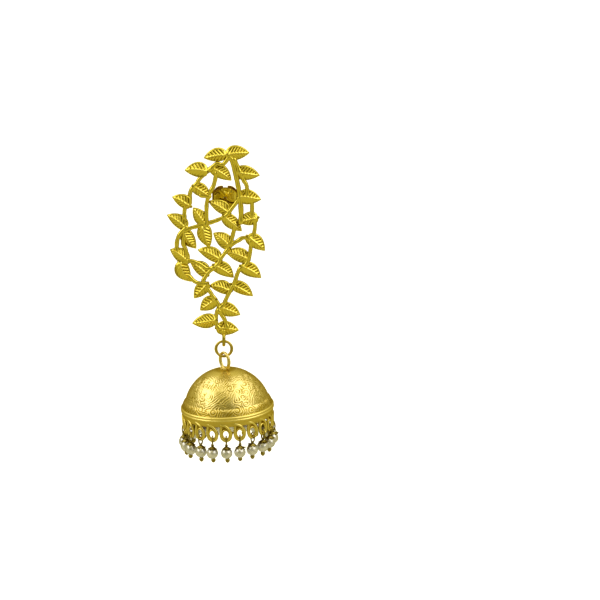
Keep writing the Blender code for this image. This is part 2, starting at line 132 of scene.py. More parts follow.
# Ear post and clutch
POST_DIAMETER = 0.8 * MM
POST_LENGTH = 10.8 * MM
POST_GROOVE_DEPTH = 0.08 * MM
FILLET_LENGTH = 0.9 * MM
FILLET_SPREAD = 0.75 * MM
FILLET_SINK = 0.15 * MM
CLUTCH_WIDTH = 7.0 * MM
CLUTCH_HEIGHT = 5.8 * MM
CLUTCH_SHEET = 0.35 * MM
CLUTCH_CURL = 1.25 * MM
CLUTCH_REACH = 8.3 * MM
CLUTCH_PLAY = 0.12 * MM
CLUTCH_FLAT = 0.3 * MM

# Panel's lower loop and the jump ring
EYELET_WIRE = 0.9 * MM
EYELET_NECK = 1.25 * MM
EYELET_HEIGHT = 3.05 * MM
EYELET_DEPTH = 1.9 * MM
RING_RADIUS = 2.1 * MM
RING_WIRE = 0.7 * MM
RING_FULLNESS = 1.22
RING_CUT = math.radians(1.5)
LINK_PLAY = 0.2 * MM

# Bell
BELL_LEAN = math.radians(3.2)
BELL_TURN = math.radians(-2.5)
EYE_WIRE = 0.8 * MM
EYE_FULLNESS = 1.16
EYE_HEIGHT = 4.3 * MM
EYE_WIDTH = 3.4 * MM
EYE_TURN = math.radians(-47)
MOUND_TOP = 0.25 * MM
MOUND_SPREAD = 1.5 * MM
MOUND_HEIGHT = 0.62 * MM
MOUND_SINK = 0.22 * MM
SOLDER_DROPS = 7
SOLDER_RISE = 0.1 * MM
DOME_RADIUS = 11.7 * MM
DOME_WALL = 0.55 * MM
SKIRT_RADIUS = 12.2 * MM
FLANGE_TOP = 3.6 * MM
SKIRT_DROP = 1.0 * MM
BEAD_WIRE = 0.62 * MM
BEAD_HEIGHTS = (0.38, 0.19)
BEAD_SEAT = 0.2 * MM
BEAD_SINK = 0.04 * MM
BAND_SWELL = 0.03 * MM
BAND_ROUNDING = 0.08 * MM
BAND_DENTS = 0.0035
BAND_DENT_SIZE = 0.11
DOME_COLUMNS = 690
BEATEN_DEPTH = 0.015 * MM

# The engraving's depth, the heights over which it starts and ends, and where it is shaded: up
# from the flare, and out from the eye
ENGRAVING_DEPTH = 0.1 * MM
ENGRAVING_FOOT = (1.55 * MM, 2.1 * MM)
ENGRAVING_TOP = (11.1 * MM, 9.9 * MM)
FLARE_SHADE = (2.3 * MM, 4.2 * MM)
EYE_SHADE = (2.1 * MM, 3.7 * MM)

# Hoops of the skirt
HOOP_COUNT = 20
HOOP_WIDTH = 3.3 * MM
HOOP_HEIGHT = 5.1 * MM
HOOP_REACH = 4.15 * MM
HOOP_SHEET = 0.45 * MM
HOOP_HOLE_WIDTH = 1.4 * MM
HOOP_HOLE_HEIGHT = 1.9 * MM
HOOP_SOLE = 1.1 * MM
HOOP_OUTER_WIRE = 0.72 * MM
HOOP_INNER_WIRE = 0.5 * MM
HOOP_TILT = math.radians(-8)
WEB_WIDTH = 0.82
WEB_REACH = (0.05, 0.88)
WEB_SHEET = 0.32 * HOOP_SHEET

# Pearl drops
PIN_WIRE = 0.38 * MM
PIN_LOOP_WIDTH = 1.6 * MM
PIN_LOOP_HEIGHT = 3.25 * MM
PIN_PLAY = 0.34 * MM
COIL_RADIUS = 0.3 * MM
COIL_HEIGHT = 0.3 * MM
COIL_FOOT = 0.1 * MM
COIL_TURNS = 1.6
CAP_WIDTH = 2.1 * MM
CAP_HEIGHT = 0.9 * MM
CAP_SHEET = 0.13 * MM
CAP_SPREAD = 1.08
CAP_PETALS = 6
PEARL_DIAMETER = 3.0 * MM
PEARL_FULLNESS = 1.03
PEARL_BORE = 0.7 * MM
PEARL_PLAY = 0.12 * MM
KNOB_WIDTH = 1.15 * MM
KNOB_HEIGHT = 1.15 * MM
KNOB_FULLNESS = 1.08
KNOB_LAP = 0.35 * MM

# Each leaf springs from (across, up) on the panel and points to turn degrees. Its length is a
# share of LEAF_LENGTH, and its width, and how far its middle bows to its left, of LEAF_WIDTH
Leaf = namedtuple("Leaf", "across up turn length width bow")
LEAVES = (
    Leaf(0.606, 0.955, -170, 0.99, 1.00, -0.06),
    Leaf(0.617, 0.955, 4, 1.00, 1.06, 0.06),
    Leaf(0.409, 0.866, 177, 0.98, 1.06, -0.09),
    Leaf(0.461, 0.882, -33, 1.03, 1.00, 0.12),
    Leaf(0.710, 0.861, -8, 1.06, 1.06, 0.03),
    Leaf(0.275, 0.787, -34, 0.87, 0.94, 0.06),
    Leaf(0.233, 0.687, 152, 0.89, 1.00, -0.10),
    Leaf(0.192, 0.571, 146, 1.02, 1.00, -0.12),
    Leaf(0.171, 0.555, -58, 1.00, 1.00, -0.10),
    Leaf(0.389, 0.592, 125, 0.92, 0.94, 0.00),
    Leaf(0.378, 0.582, -76, 1.03, 1.06, -0.10),
    Leaf(0.637, 0.650, 151, 1.04, 0.94, -0.10),
    Leaf(0.585, 0.629, -41, 1.04, 0.94, 0.02),
    Leaf(0.927, 0.624, -167, 0.86, 1.00, -0.02),
    Leaf(0.637, 0.471, 138, 0.94, 1.00, -0.10),
    Leaf(0.834, 0.524, -41, 0.99, 1.00, 0.08),
    Leaf(0.544, 0.403, 157, 1.08, 1.00, -0.14),
    Leaf(0.834, 0.403, 161, 1.06, 1.00, -0.12),
    Leaf(0.202, 0.392, 143, 0.96, 1.00, -0.12),
    Leaf(0.130, 0.392, -63, 1.03, 1.06, -0.16),
    Leaf(0.409, 0.324, 143, 0.93, 1.00, -0.12),
    Leaf(0.482, 0.371, -33, 1.03, 1.00, 0.14),
    Leaf(0.762, 0.366, -31, 1.03, 1.00, 0.12),
    Leaf(0.409, 0.276, -130, 0.91, 0.94, -0.04),
    Leaf(0.492, 0.192, -143, 0.85, 1.00, -0.04),
    Leaf(0.648, 0.239, 167, 0.96, 1.00, -0.14),
    Leaf(0.668, 0.271, -29, 1.06, 0.94, 0.12),
    Leaf(0.534, 0.150, -20, 0.99, 1.00, 0.06),
    Leaf(0.492, 0.087, -171, 1.04, 1.06, 0.02),
    Leaf(0.513, 0.039, -6, 0.96, 1.00, 0.06),
    Leaf(0.741, 0.734, -8, 0.99, 1.06, 0.04),
)
POST_LEAF = LEAVES[11]
LOWEST_LEAF = LEAVES[29]

# Each vine runs through points given as shares of the panel's width and height
VINES = {
    "spine": (
        (0.622, 0.955), (0.668, 0.924), (0.710, 0.845), (0.731, 0.792),
        (0.751, 0.734), (0.762, 0.661), (0.762, 0.603),
    ),
    "top_right": ((0.690, 0.930), (0.728, 0.893), (0.750, 0.860)),
    "middle_right": ((0.775, 0.850), (0.790, 0.818), (0.820, 0.792), (0.830, 0.735)),
    "right": ((0.868, 0.728), (0.876, 0.697), (0.876, 0.632)),
    "lower_right": ((0.888, 0.622), (0.908, 0.585), (0.885, 0.510)),
    "long_right": (
        (0.862, 0.500), (0.860, 0.460), (0.845, 0.418), (0.824, 0.387), (0.793, 0.366),
        (0.751, 0.355), (0.720, 0.324), (0.700, 0.290), (0.665, 0.258), (0.634, 0.226),
        (0.606, 0.197), (0.585, 0.171), (0.548, 0.150),
    ),
    "top_left": ((0.640, 0.942), (0.575, 0.903), (0.512, 0.908), (0.451, 0.878)),
    "outer_left": (
        (0.451, 0.880), (0.399, 0.858), (0.337, 0.829), (0.300, 0.800), (0.254, 0.776),
        (0.233, 0.745), (0.233, 0.710), (0.185, 0.680), (0.171, 0.625),
    ),
    "lower_left": ((0.192, 0.571), (0.130, 0.539), (0.100, 0.503), (0.093, 0.450)),
    "left_tip": ((0.218, 0.315), (0.295, 0.284), (0.405, 0.274)),
    "inner_left": (
        (0.510, 0.860), (0.482, 0.797), (0.451, 0.766), (0.425, 0.734), (0.409, 0.703),
        (0.404, 0.661), (0.402, 0.618), (0.392, 0.586),
    ),
    "crossing": (
        (0.751, 0.730), (0.699, 0.692), (0.658, 0.666), (0.620, 0.640), (0.565, 0.621),
        (0.503, 0.608), (0.440, 0.597), (0.378, 0.589), (0.316, 0.579), (0.254, 0.571),
        (0.180, 0.558),
    ),
    "short": ((0.695, 0.590), (0.690, 0.560), (0.650, 0.485)),
    "long_middle": (
        (0.850, 0.515), (0.782, 0.518), (0.731, 0.503), (0.679, 0.487), (0.627, 0.461),
        (0.590, 0.435), (0.554, 0.412), (0.528, 0.385), (0.482, 0.361), (0.430, 0.340),
        (0.378, 0.303), (0.370, 0.285), (0.395, 0.268), (0.430, 0.239), (0.472, 0.208),
        (0.515, 0.175), (0.530, 0.150), (0.510, 0.130), (0.500, 0.100), (0.505, 0.060),
        (0.530, 0.040),
    ),
    "low_strut": ((0.525, 0.135), (0.560, 0.110), (0.590, 0.085), (0.617, 0.045)),
    "left_strut": ((0.180, 0.550), (0.160, 0.490), (0.190, 0.450), (0.195, 0.392)),
    "along": ((0.125, 0.386), (0.233, 0.395), (0.337, 0.378), (0.409, 0.355), (0.482, 0.361)),
    "left_inner": ((0.430, 0.735), (0.350, 0.742)),
}

# Engraving on the bell's front, by the way round from the front and up from the skirt, in
# degrees. Each patch is cut in strokes of one kind, which run to turn degrees
Patch = namedtuple("Patch", "around up kind turn")
FRONT_PATCHES = (
    Patch(1, 31, "hatch", 42),
    Patch(-2, 44, "hatch", 52),
    Patch(7, 20, "hatch", 46),
    Patch(-9, 36, "hatch", 40),
    Patch(8, 38, "hatch", 60),
    Patch(21, 41, "rings", 0),
    Patch(27, 32, "curl", 200),
    Patch(17, 30, "curl", 20),
    Patch(34, 57, "wave", 12),
    Patch(18, 55, "wave", 18),
    Patch(29, 22, "curl", 100),
    Patch(38, 24, "hatch", 60),
    Patch(-18, 23, "hatch", 30),
    Patch(-28, 20, "hatch", 25),
    Patch(-28, 43, "wave", 75),
    Patch(-48, 37, "wave", 100),
)
PATCH_KINDS = ("hatch", "curl", "wave", "rings")
PATCH_SHARES = (2, 4, 3, 3)
SPREAD_PATCHES = 190
GOLDEN_SHARE = 0.618034
LOWEST_SINE = 0.14
SINE_REACH = 0.8
PATCH_ROOM = math.radians(8)
PATCH_SHAKE = 0.3 * MM
PATCH_WAVER = 1.3 * MM

# The strokes' spacing in mm
HATCH_PITCH = 0.58
WAVE_PITCH = 0.6
CURL_PITCH = 0.62

# The sweeping wire of a hoop, as shares of its width and height from its lowest point, with
# how far it stands forward as a share of its sheet
HoopPoint = namedtuple("HoopPoint", "across up forward")
HOOP_LINE = (
    HoopPoint(-0.40, 0.97, 0.00),
    HoopPoint(-0.14, 0.90, 0.30),
    HoopPoint(0.10, 0.81, 0.45),
    HoopPoint(0.27, 0.68, 0.35),
    HoopPoint(0.39, 0.53, 0.15),
    HoopPoint(0.42, 0.37, 0.00),
    HoopPoint(0.34, 0.19, 0.00),
    HoopPoint(0.18, 0.08, 0.00),
    HoopPoint(0.00, 0.051, 0.00),
    HoopPoint(-0.18, 0.08, 0.00),
    HoopPoint(-0.34, 0.19, 0.00),
    HoopPoint(-0.42, 0.37, 0.00),
    HoopPoint(-0.41, 0.56, 0.00),
    HoopPoint(-0.36, 0.76, -0.15),
    HoopPoint(-0.30, 0.98, -0.30),
)

# Stamped marks on the clutch's front: lines of (across, up) places from the post, with the
# mark's half width and its height, all in mm. A height below 0 is a groove
Mark = namedtuple("Mark", "width height line")
CLUTCH_MARKS = (
    Mark(0.22, -0.15, ((-1.33, 2.34), (-0.61, 1.34), (-0.10, 0.60))),
    Mark(0.30, -0.33, ((-1.25, -0.43), (0.10, -0.75), (1.38, -1.40), (2.60, -1.40))),
    Mark(0.16, 0.18, ((-0.95, 2.10), (0.05, 1.45), (0.90, 0.98))),
    Mark(0.14, 0.15, ((0.75, 1.20), (1.05, 1.75), (1.25, 2.30))),
    Mark(0.20, -0.18, ((0.10, 1.75), (0.24, 2.05))),
    Mark(0.18, -0.15, ((0.80, 1.55), (0.92, 1.95))),
    Mark(0.20, 0.15, ((0.15, -0.20), (0.60, -0.55), (1.30, -0.95))),
    Mark(0.70, 0.18, ((1.60, 1.20), (1.90, -0.10))),
    Mark(0.18, -0.15, ((-2.60, 0.80), (-2.10, 1.50), (-1.40, 1.20))),
)
# How strongly the marks' heights tone the front, lighter on ridges and darker in grooves, and the span
# in mm over which the left scroll darkens as painted shade
CLUTCH_TONE = 6.0
CLUTCH_SCROLL_SHADE = (-1.9, -0.7)

# How far each drop is turned about its own length, and leans to its right and to the front, in
# degrees, from the front one round
Drop = namedtuple("Drop", "turn lean tip")
DROPS = (
    Drop(0, -1.6, 0.5), Drop(-8, 0.6, -1.0), Drop(14, 1.8, 0.8), Drop(-5, 2.2, -0.6),
    Drop(10, 1.2, 1.0), Drop(4, -0.8, 0.4), Drop(-12, 0.9, -1.2), Drop(8, -1.4, 0.7),
    Drop(-3, 0.5, 1.3), Drop(12, -0.7, -0.9), Drop(-9, 1.5, 0.3), Drop(6, -1.1, 1.1),
    Drop(15, 0.8, -0.5), Drop(-6, -1.6, 0.9), Drop(3, 1.0, -1.3), Drop(-14, -0.4, 0.6),
    Drop(9, -1.2, 1.2), Drop(5, 1.4, -0.8), Drop(-15, -1.9, 0.4), Drop(18, 0.7, -1.1),
)


# Shader values
class Value:
    """A shader's socket, in sums with others and with plain numbers."""

    def __init__(self, finish, socket):
        self.finish = finish
        self.socket = socket

    def sum(self, operation, first, second):
        return self.finish.node("ShaderNodeMath", {"operation": operation}, {0: first, 1: second})

    def __add__(self, other):
        return self.sum("ADD", self, other)

    def __sub__(self, other):
        return self.sum("SUBTRACT", self, other)

    def __rsub__(self, other):
        return self.sum("SUBTRACT", other, self)

    def __mul__(self, other):
        return self.sum("MULTIPLY", self, other)

    __radd__ = __add__
    __rmul__ = __mul__

    def eased(self, low, high):
        """Runs smoothly from 0 to 1 as this value runs from low to high."""
        settings = {"interpolation_type": "SMOOTHSTEP"}
        return self.finish.node("ShaderNodeMapRange", settings, {0: self, 1: low, 2: high})


class Finish:
    """The nodes of one material, or of the world."""

    def __init__(self, owner):
        self.owner = owner
        owner.use_nodes = True
        self.tree = owner.node_tree
        self.tree.nodes.clear()

    def node(self, kind, settings=None, sockets=None, output=0):
        made = self.tree.nodes.new(kind)
        for setting, value in (settings or {}).items():
            setattr(made, setting, value)
        for socket, value in (sockets or {}).items():
            if isinstance(value, Value):
                self.tree.links.new(value.socket, made.inputs[socket])
            else:
                made.inputs[socket].default_value = value
        return Value(self, made.outputs[output]) if made.outputs else None

    # Each point's tone, from polished to deep: real wear and patina in cuts and pits, and painted shade
    # as well
    def relief_and_shade(self):
        return self.node("ShaderNodeAttribute", {"attribute_name": "relief_and_shade"}, output="Fac")

    def clouds(self, size, detail):
        """Noise from 0 to 1, whose features are this size."""
        place = self.node("ShaderNodeTexCoord", output="Object")
        sockets = {"Vector": place, "Scale": 1 / size, "Detail": detail}
        return self.node("ShaderNodeTexNoise", None, sockets)

    def mixed(self, factor, first, second):
        sockets = {0: factor, 6: opaque(first), 7: opaque(second)}
        return self.node("ShaderNodeMix", {"data_type": "RGBA"}, sockets, output=2)

    def bump(self, height, strength):
        sockets = {"Height": height, "Distance": GRAIN_DEPTH, "Strength": strength}
        return self.node("ShaderNodeBump", None, sockets)

    def surface(self, **sockets):
        """The finished material, from the Principled shader's sockets by name."""
        named = {name.replace("_", " ").title(): value for name, value in sockets.items()}
        shader = self.node("ShaderNodeBsdfPrincipled", None, named)
        self.node("ShaderNodeOutputMaterial", None, {"Surface": shader})
        return self.owner


def opaque(colour):
    return colour if isinstance(colour, Value) else (*colour, 1.0)


def new_finish(name):
    return Finish(bpy.data.materials.new(name))


# Gilt finishes: bright where they are rubbed and deep in the recesses, with the grain's size in mm. The
# deep colour also paints shade where the tone is lowered for it
Gilding = namedtuple("Gilding", "bright deep roughness grain coat")
GILDINGS = {
    "panel": Gilding((0.98, 0.82, 0.11), (0.21, 0.14, 0.003), 0.14, 0.22, 0.08),
    "bell": Gilding((0.96, 0.80, 0.32), (0.48, 0.34, 0.02), 0.25, 0.30, 0.08),
    "band": Gilding((0.98, 0.80, 0.18), (0.52, 0.38, 0.05), 0.40, 0.30, 0.08),
    "hoop": Gilding((0.97, 0.80, 0.20), (0.40, 0.27, 0.02), 0.24, 0.25, 0.08),
    # A darker, uncoated copy of the gold for the bell's hollow inside: painted shade
    "inside": Gilding((0.62, 0.44, 0.05), (0.30, 0.20, 0.02), 0.42, 0.40, 0.0),
    "pin": Gilding((0.42, 0.34, 0.08), (0.12, 0.09, 0.01), 0.32, 0.25, 0.08),
    # The clutch's deep colour is a dark brown for the painted shade on its scroll, rim and back
    "clutch": Gilding((0.96, 0.77, 0.05), (0.20, 0.10, 0.003), 0.30, 0.30, 0.08),
}
GRAIN_DEPTH = 0.03 * MM

# How far a polished crest's red, green and blue are drawn towards white, a painted highlight as well as
# polish
POLISH_HIGHLIGHT = (0.12, 0.12, 0.09)


def gilt(name):
    """Gilt metal with a fine grain, dull and deep where its relief is low and pale on crests. The low
    relief is real patina in cuts and pits and also painted shade; the pale crests are polish and also a
    painted highlight.
    """
    gilding = GILDINGS[name]
    finish = new_finish(f"{name}_gilding")
    clouds = finish.clouds(2.2 * MM, 3.0)
    pores = finish.clouds(gilding.grain * MM, 3.0)
    relief_and_shade = finish.relief_and_shade()
    # From the deep colour to the bright one: low for patina and for painted shade, high where the
    # gilding is rubbed
    rubbed_and_lit = (relief_and_shade + (clouds - 0.5) * 0.5).eased(-0.9, 0.35)
    # Pale crests: polish, and a painted highlight as well
    polish_and_highlight = relief_and_shade.eased(0.35, 0.85)
    pale = [value + (1 - value) * share for value, share in zip(gilding.bright, POLISH_HIGHLIGHT)]
    worn = 0.16 * (1 - rubbed_and_lit) + 0.12 * (clouds - 0.5) - 0.05 * polish_and_highlight
    return finish.surface(
        base_color=finish.mixed(rubbed_and_lit, gilding.deep, finish.mixed(polish_and_highlight, gilding.bright, pale)),
        metallic=1.0,
        roughness=gilding.roughness + worn,
        specular_tint=(0.6, 0.48, 0.2, 1),
        coat_weight=gilding.coat,
        coat_roughness=0.2,
        normal=finish.bump(pores + clouds * 0.6, 0.6),
    )


def pearl_lustre():
    """Grey-white nacre with a soft metallic sheen under a clear coat."""
    finish = new_finish("pearl_lustre")
    bands = finish.clouds(0.9 * MM, 2.0)
    grain = finish.clouds(0.16 * MM, 2.0)
    return finish.surface(
        base_color=finish.mixed(bands.eased(0.3, 0.7), (0.62, 0.62, 0.60), (0.82, 0.80, 0.78)),
        metallic=0.82,
        specular_tint=(0.7, 0.7, 0.66, 1),
        roughness=0.2 + 0.12 * bands,
        coat_weight=0.2,
        coat_roughness=0.09,
        normal=finish.bump(bands * 0.7 + grain * 0.3, 0.5),
    )


# Lines, rings and frames
BACKWARDS = Matrix.Rotation(math.radians(-90), 4, "X")


def unit(vectors):
    return vectors / np.maximum(np.linalg.norm(vectors, axis=-1, keepdims=True), 1e-12)


def moved(points, matrix):
    """The points carried by a 4 by 4 matrix."""
    matrix = np.array(matrix)
    return np.asarray(points) @ matrix[:3, :3].T + matrix[:3, 3]


def eased(values, low, high):
    share = np.clip((values - low) / (high - low), 0, 1)
    return share * share * (3 - 2 * share)


def smooth_line(points, per_span):
    """A curve through these points, with per_span steps between each two."""
    points = np.array([tuple(point) for point in points], float)
    padded = [2 * points[0] - points[1], *points, 2 * points[-1] - points[-2]]
    share = np.arange(per_span)[:, None] / per_span
    line = []
    for before, start, end, after in zip(padded, padded[1:], padded[2:], padded[3:]):
        bend = 2 * before - 5 * start + 4 * end - after
        twist = 3 * start - before - 3 * end + after
        line.append(start + 0.5 * share * (end - before + share * (bend + share * twist)))
    return np.concatenate([*line, points[-1:]])


def oval(across, up, width, height, count):
    """Points round an oval in the plane of the two directions, centred on the origin."""
    turns = math.tau * np.arange(count)[:, None] / count
    return np.array(across) * np.sin(turns) * width / 2 + np.array(up) * np.cos(turns) * height / 2


def arc(radius, start, end, count):
    """(radius, height) points on a circle, start and end as degrees above the level."""
    turns = np.radians(np.linspace(start, end, count))
    return np.stack([radius * np.cos(turns), radius * np.sin(turns)], axis=1)


def revolved(profile, steps):
    """A ring of points round Z for each (radius, height) pair."""
    radius, height = np.array(profile, float).T[..., None]
    turns = math.tau * np.arange(steps) / steps
    rings = radius * np.sin(turns), -radius * np.cos(turns), np.repeat(height, steps, axis=1)
    return np.stack(rings, axis=-1)


def placed(name, data):
    """A new object in the scene, made of this data."""
    made = bpy.data.objects.new(name, data)
    bpy.context.scene.collection.objects.link(made)
    return made


class Shape:
    """Points and faces gathered into one piece, with each point's relief for its finish. That relief is
    a tone that holds real wear and patina and also painted shade and highlight.
    """

    def __init__(self):
        self.points = []
        self.faces = []
        self.relief_and_shade = []
        self.count = 0

    def skin(self, rings, relief_and_shade=0.0, matrix=Matrix(), closed=False, caps=(0, -1)):
        """A skin over a row of rings. caps names the end rings that are filled in."""
        rows, steps = rings.shape[:2]
        for row in range(rows if closed else rows - 1):
            here, there = self.count + row * steps, self.count + (row + 1) % rows * steps
            for step in range(steps):
                after = (step + 1) % steps
                self.faces.append((here + step, here + after, there + after, there + step))
        for row in caps:
            start = self.count + row % rows * steps
            self.faces.append(tuple(range(start, start + steps)))
        self.points.append(moved(rings.reshape(-1, 3), matrix))
        self.relief_and_shade.append(np.broadcast_to(relief_and_shade, (rows, steps)).ravel())
        self.count += rows * steps

    def wire(self, line, radius, side, sides=10, flat=1.0, closed=False, relief_and_shade=0.0, flank_shade=0.0,
             matrix=Matrix()):
        """Wire along a line. flat squeezes it along side, and its open ends are rounded.

        dull is painted shade: how much lower its relief is on the flanks, away from side.
        """
        line = np.asarray(line, float)
        radius = np.broadcast_to(radius, len(line)).astype(float)
        relief_and_shade = np.broadcast_to(relief_and_shade, len(line)).astype(float)
        if not closed:
            line, radius = round_ended(line, radius)
            relief_and_shade = np.pad(relief_and_shade, (len(line) - len(relief_and_shade)) // 2, mode="edge")
        ahead = np.roll(line, -1, 0) - np.roll(line, 1, 0) if closed else np.gradient(line, axis=0)
        ahead = unit(ahead)
        side = np.array(side, float)
        side = unit(side - ahead * (ahead @ side)[:, None])
        other = np.cross(ahead, side)
        turns = math.tau * np.arange(sides) / sides
        rings = (
            line[:, None]
            + side[:, None] * (radius[:, None] * np.cos(turns) * flat)[..., None]
            + other[:, None] * (radius[:, None] * np.sin(turns))[..., None]
        )
        # Painted shade: the flanks, away from side, take a lower tone
        flanks = flank_shade * np.abs(np.sin(turns)) ** 3
        self.skin(rings, relief_and_shade[:, None] - flanks, matrix, closed, () if closed else (0, -1))

    def turned(self, profile, steps, matrix=Matrix(), relief_and_shade=0.0, wobble=1.0, caps=(0, -1)):
        """A shape turned about Z from (radius, height) points. wobble varies its radius round it."""
        rings = revolved(profile, steps)
        rings[..., :2] *= np.reshape(wobble, (-1, 1))
        self.skin(rings, relief_and_shade, matrix, caps=caps)

    def blob(self, place, size, steps=14):
        """A rounded lump of solder, with its three half sizes."""
        profile = arc(1, -90, 90, steps // 2)[1:-1]
        self.turned(profile, steps, Matrix.Translation(place) @ Matrix.Diagonal((*size, 1)))

    def mesh(self, name):
        made = bpy.data.meshes.new(name)
        made.from_pydata(np.concatenate(self.points).tolist(), [], self.faces)
        return made

    def build(self, name, finish, body, nodes):
        """The finished piece, which rides on a body and stands for these nodes."""
        mesh = self.mesh(name)
        relief_and_shade = mesh.attributes.new("relief_and_shade", "FLOAT", "POINT")
        relief_and_shade.data.foreach_set("value", np.concatenate(self.relief_and_shade).astype(np.float32))
        shape = bmesh.new()
        shape.from_mesh(mesh)
        bmesh.ops.recalc_face_normals(shape, faces=shape.faces)
        shape.to_mesh(mesh)
        shape.free()
        mesh.shade_smooth()
        mesh.materials.append(finish)
        piece = placed(name, mesh)
        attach(piece, body)
        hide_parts(*nodes)
        return piece


def round_ended(line, radius):
    """The line drawn out at both ends under a rounding radius."""
    turns = np.radians((80, 55, 28))[:, None]
    start = unit(line[0] - line[1]) * radius[0]
    end = unit(line[-1] - line[-2]) * radius[-1]
    lines = [line[0] + np.sin(turns) * start, line, line[-1] + np.sin(turns[::-1]) * end]
    shares = np.cos(turns[:, 0])
    radii = [radius[0] * shares, radius, radius[-1] * shares[::-1]]
    return np.concatenate(lines), np.concatenate(radii)


def uneven(points, size, seed):
    """Smooth noise from -1 to 1 at each point, with features of this size."""
    shift = Vector((seed * 7.3, seed * 3.1, seed * 5.7))
    return np.array([noise.noise(Vector(point) / size + shift) for point in points])


# Leaf panel
def on_panel(across, up, depth=0.0):
    return Vector((
        (across - POST_ACROSS) * PANEL_WIDTH,
        -depth,
        (up - POST_UP) * PANEL_HEIGHT,
    ))


def layer(number):
    """How far forward a leaf lies. A vine takes a half number."""
    step = (number - LEAVES.index(POST_LEAF)) * LAYER_STRIDE % len(LEAVES)
    return LEAF_LAYERS * step / len(LEAVES)


def leaf_outline(along):
    """A leaf's half width at this share of its length, as a share of its greatest."""
    along = np.clip(along, 0, 1)
    return np.sin(math.pi * along**0.7) ** (0.5 + 0.3 * along)


def leaf_front(along, side, x, y, half, upper, number):
    """The height and the relief of a struck leaf's front, whose upper half is cut deeper. The relief
    darkens in the vein pits, and holds painted shade on the lower half and along the edge.
    """
    chance = random.Random(number)
    pitch = VEIN_PITCH * chance.uniform(0.9, 1.12)
    phase = (x - VEIN_SLANT * np.abs(y)) / pitch + chance.random()
    crest = 0.5 + 0.5 * np.cos(math.tau * phase)
    inset = half - np.abs(y)
    ends = eased(along, *VEINS_FROM_STALK) * eased(1 - along, *VEINS_FROM_TIP)
    field = eased(np.abs(y), *VEINS_FROM_MIDRIB) * eased(inset, *VEINS_FROM_EDGE) * ends
    strength = np.where(upper, 1.0, chance.uniform(*LOWER_VEINS))
    pit = (1 - crest**0.8) * field * strength
    rim = LEAF_RIM * 0.55
    roof = rim + (LEAF_RIDGE - rim) * (1 - np.abs(side) ** 1.1) * leaf_outline(along)
    midrib = np.exp(-((y / MIDRIB_WIDTH) ** 2)) * ends
    raised = EDGE_HEIGHT * np.exp(-(((inset - EDGE_PLACE) / EDGE_WIDTH) ** 2)) * ends
    edge = np.clip(1 - inset / EDGE_ROUNDING, 0, 1)
    drop = LEAF_RIM * 0.4 * (1 - np.sqrt(1 - 0.98 * edge**2))
    height = roof + MIDRIB_HEIGHT * midrib + raised - drop - VEIN_HEIGHT * pit
    # Painted shade: the lower half, facing down, and the rounded edge are darkened
    shade = 0.65 * ~upper * eased(np.abs(side), 0.35, 1.0) + 1.2 * edge**2
    return height, 0.5 - 1.4 * pit**1.5 + 0.4 * midrib - shade


def struck_leaf(shape, number):
    """One leaf as a closed skin: a struck front, a rounded edge and a hollow back."""
    leaf = LEAVES[number]
    steps = np.linspace(0, 1, LEAF_ROWS + 1)
    along = 0.55 * steps + 0.45 * (0.5 - 0.5 * np.cos(math.pi * steps))
    side = np.concatenate([np.linspace(-1, 1, LEAF_COLUMNS), np.linspace(1, -1, BACK_COLUMNS)])
    is_back = np.arange(len(side)) >= LEAF_COLUMNS
    along, side = np.meshgrid(along, side, indexing="ij")
    width = LEAF_WIDTH * leaf.width * LEAF_FULLNESS
    full = leaf_outline(along)
    half = np.maximum(width / 2 * full, 1e-7)
    x, y = along * LEAF_LENGTH * leaf.length * LEAF_STRETCH, side * half
    upper = side * math.cos(math.radians(leaf.turn)) > 0
    height, tone = leaf_front(along, side, x, y, half, upper, number)
    hollow = BACK_HOLLOW * (1 - side**2) * eased(full, 0.1, 0.8)
    depth = np.where(is_back, hollow, height)
    depth = LEAF_RIM / 2 + (depth - LEAF_RIM / 2) * eased(full, 0.0, 0.45)
    bow = width * leaf.bow * 4 * along * (1 - along)
    points = np.stack([x - LEAF_SEAT, -depth, y + bow], axis=-1)
    # Painted shade: the back darkens towards its edges
    tone = np.where(is_back, -0.1 - 0.9 * eased(np.abs(side), 0.8, 1.0), tone)
    shape.skin(points, tone, leaf_frame(number), caps=())


def leaf_frame(number):
    """A leaf's place and turn, with the small tilts that casting left it."""
    leaf = LEAVES[number]
    chance = random.Random(60 + number)
    turn = Matrix.Rotation(math.radians(-leaf.turn), 4, "Y")
    roll = Matrix.Rotation(math.radians(chance.uniform(-LEAF_TILT, LEAF_TILT)), 4, "X")
    pitch = Matrix.Rotation(math.radians(chance.uniform(-LEAF_TILT, LEAF_TILT) / 3), 4, "Z")
    return Matrix.Translation(on_panel(leaf.across, leaf.up, layer(number))) @ turn @ roll @ pitch


def leaf_stalk(shape, number):
    """The short stalk that runs from the vine into the leaf's midrib."""
    leaf = LEAVES[number]
    shares = np.linspace(0, 1, 9)
    along = STALK_REACH * shares
    bow = LEAF_WIDTH * leaf.width * leaf.bow * 4 * along * (1 - along)
    depth = LEAF_RIM * 0.75 + (LEAF_RIDGE - LEAF_RIM) * eased(shares, 0, 1.1)
    line = np.stack([LEAF_LENGTH * leaf.length * along - STALK_TAIL, -depth, bow], axis=-1)
    radius = STALK_RADIUS - STALK_TAPER * shares
    relief_and_shade = -0.45 + 0.9 * eased(shares, 0.1, 0.5)
    shape.wire(line, radius, (0, 1, 0), relief_and_shade=relief_and_shade, matrix=leaf_frame(number))


def eyelet_top():
    """The middle of the loop's wire where it meets the lowest leaf."""
    leaf_middle = on_panel(EYELET_ACROSS, LOWEST_LEAF.up - 0.012, LEAF_RIM)
    return leaf_middle - Vector((0, 0, LEAF_WIDTH * 0.26))


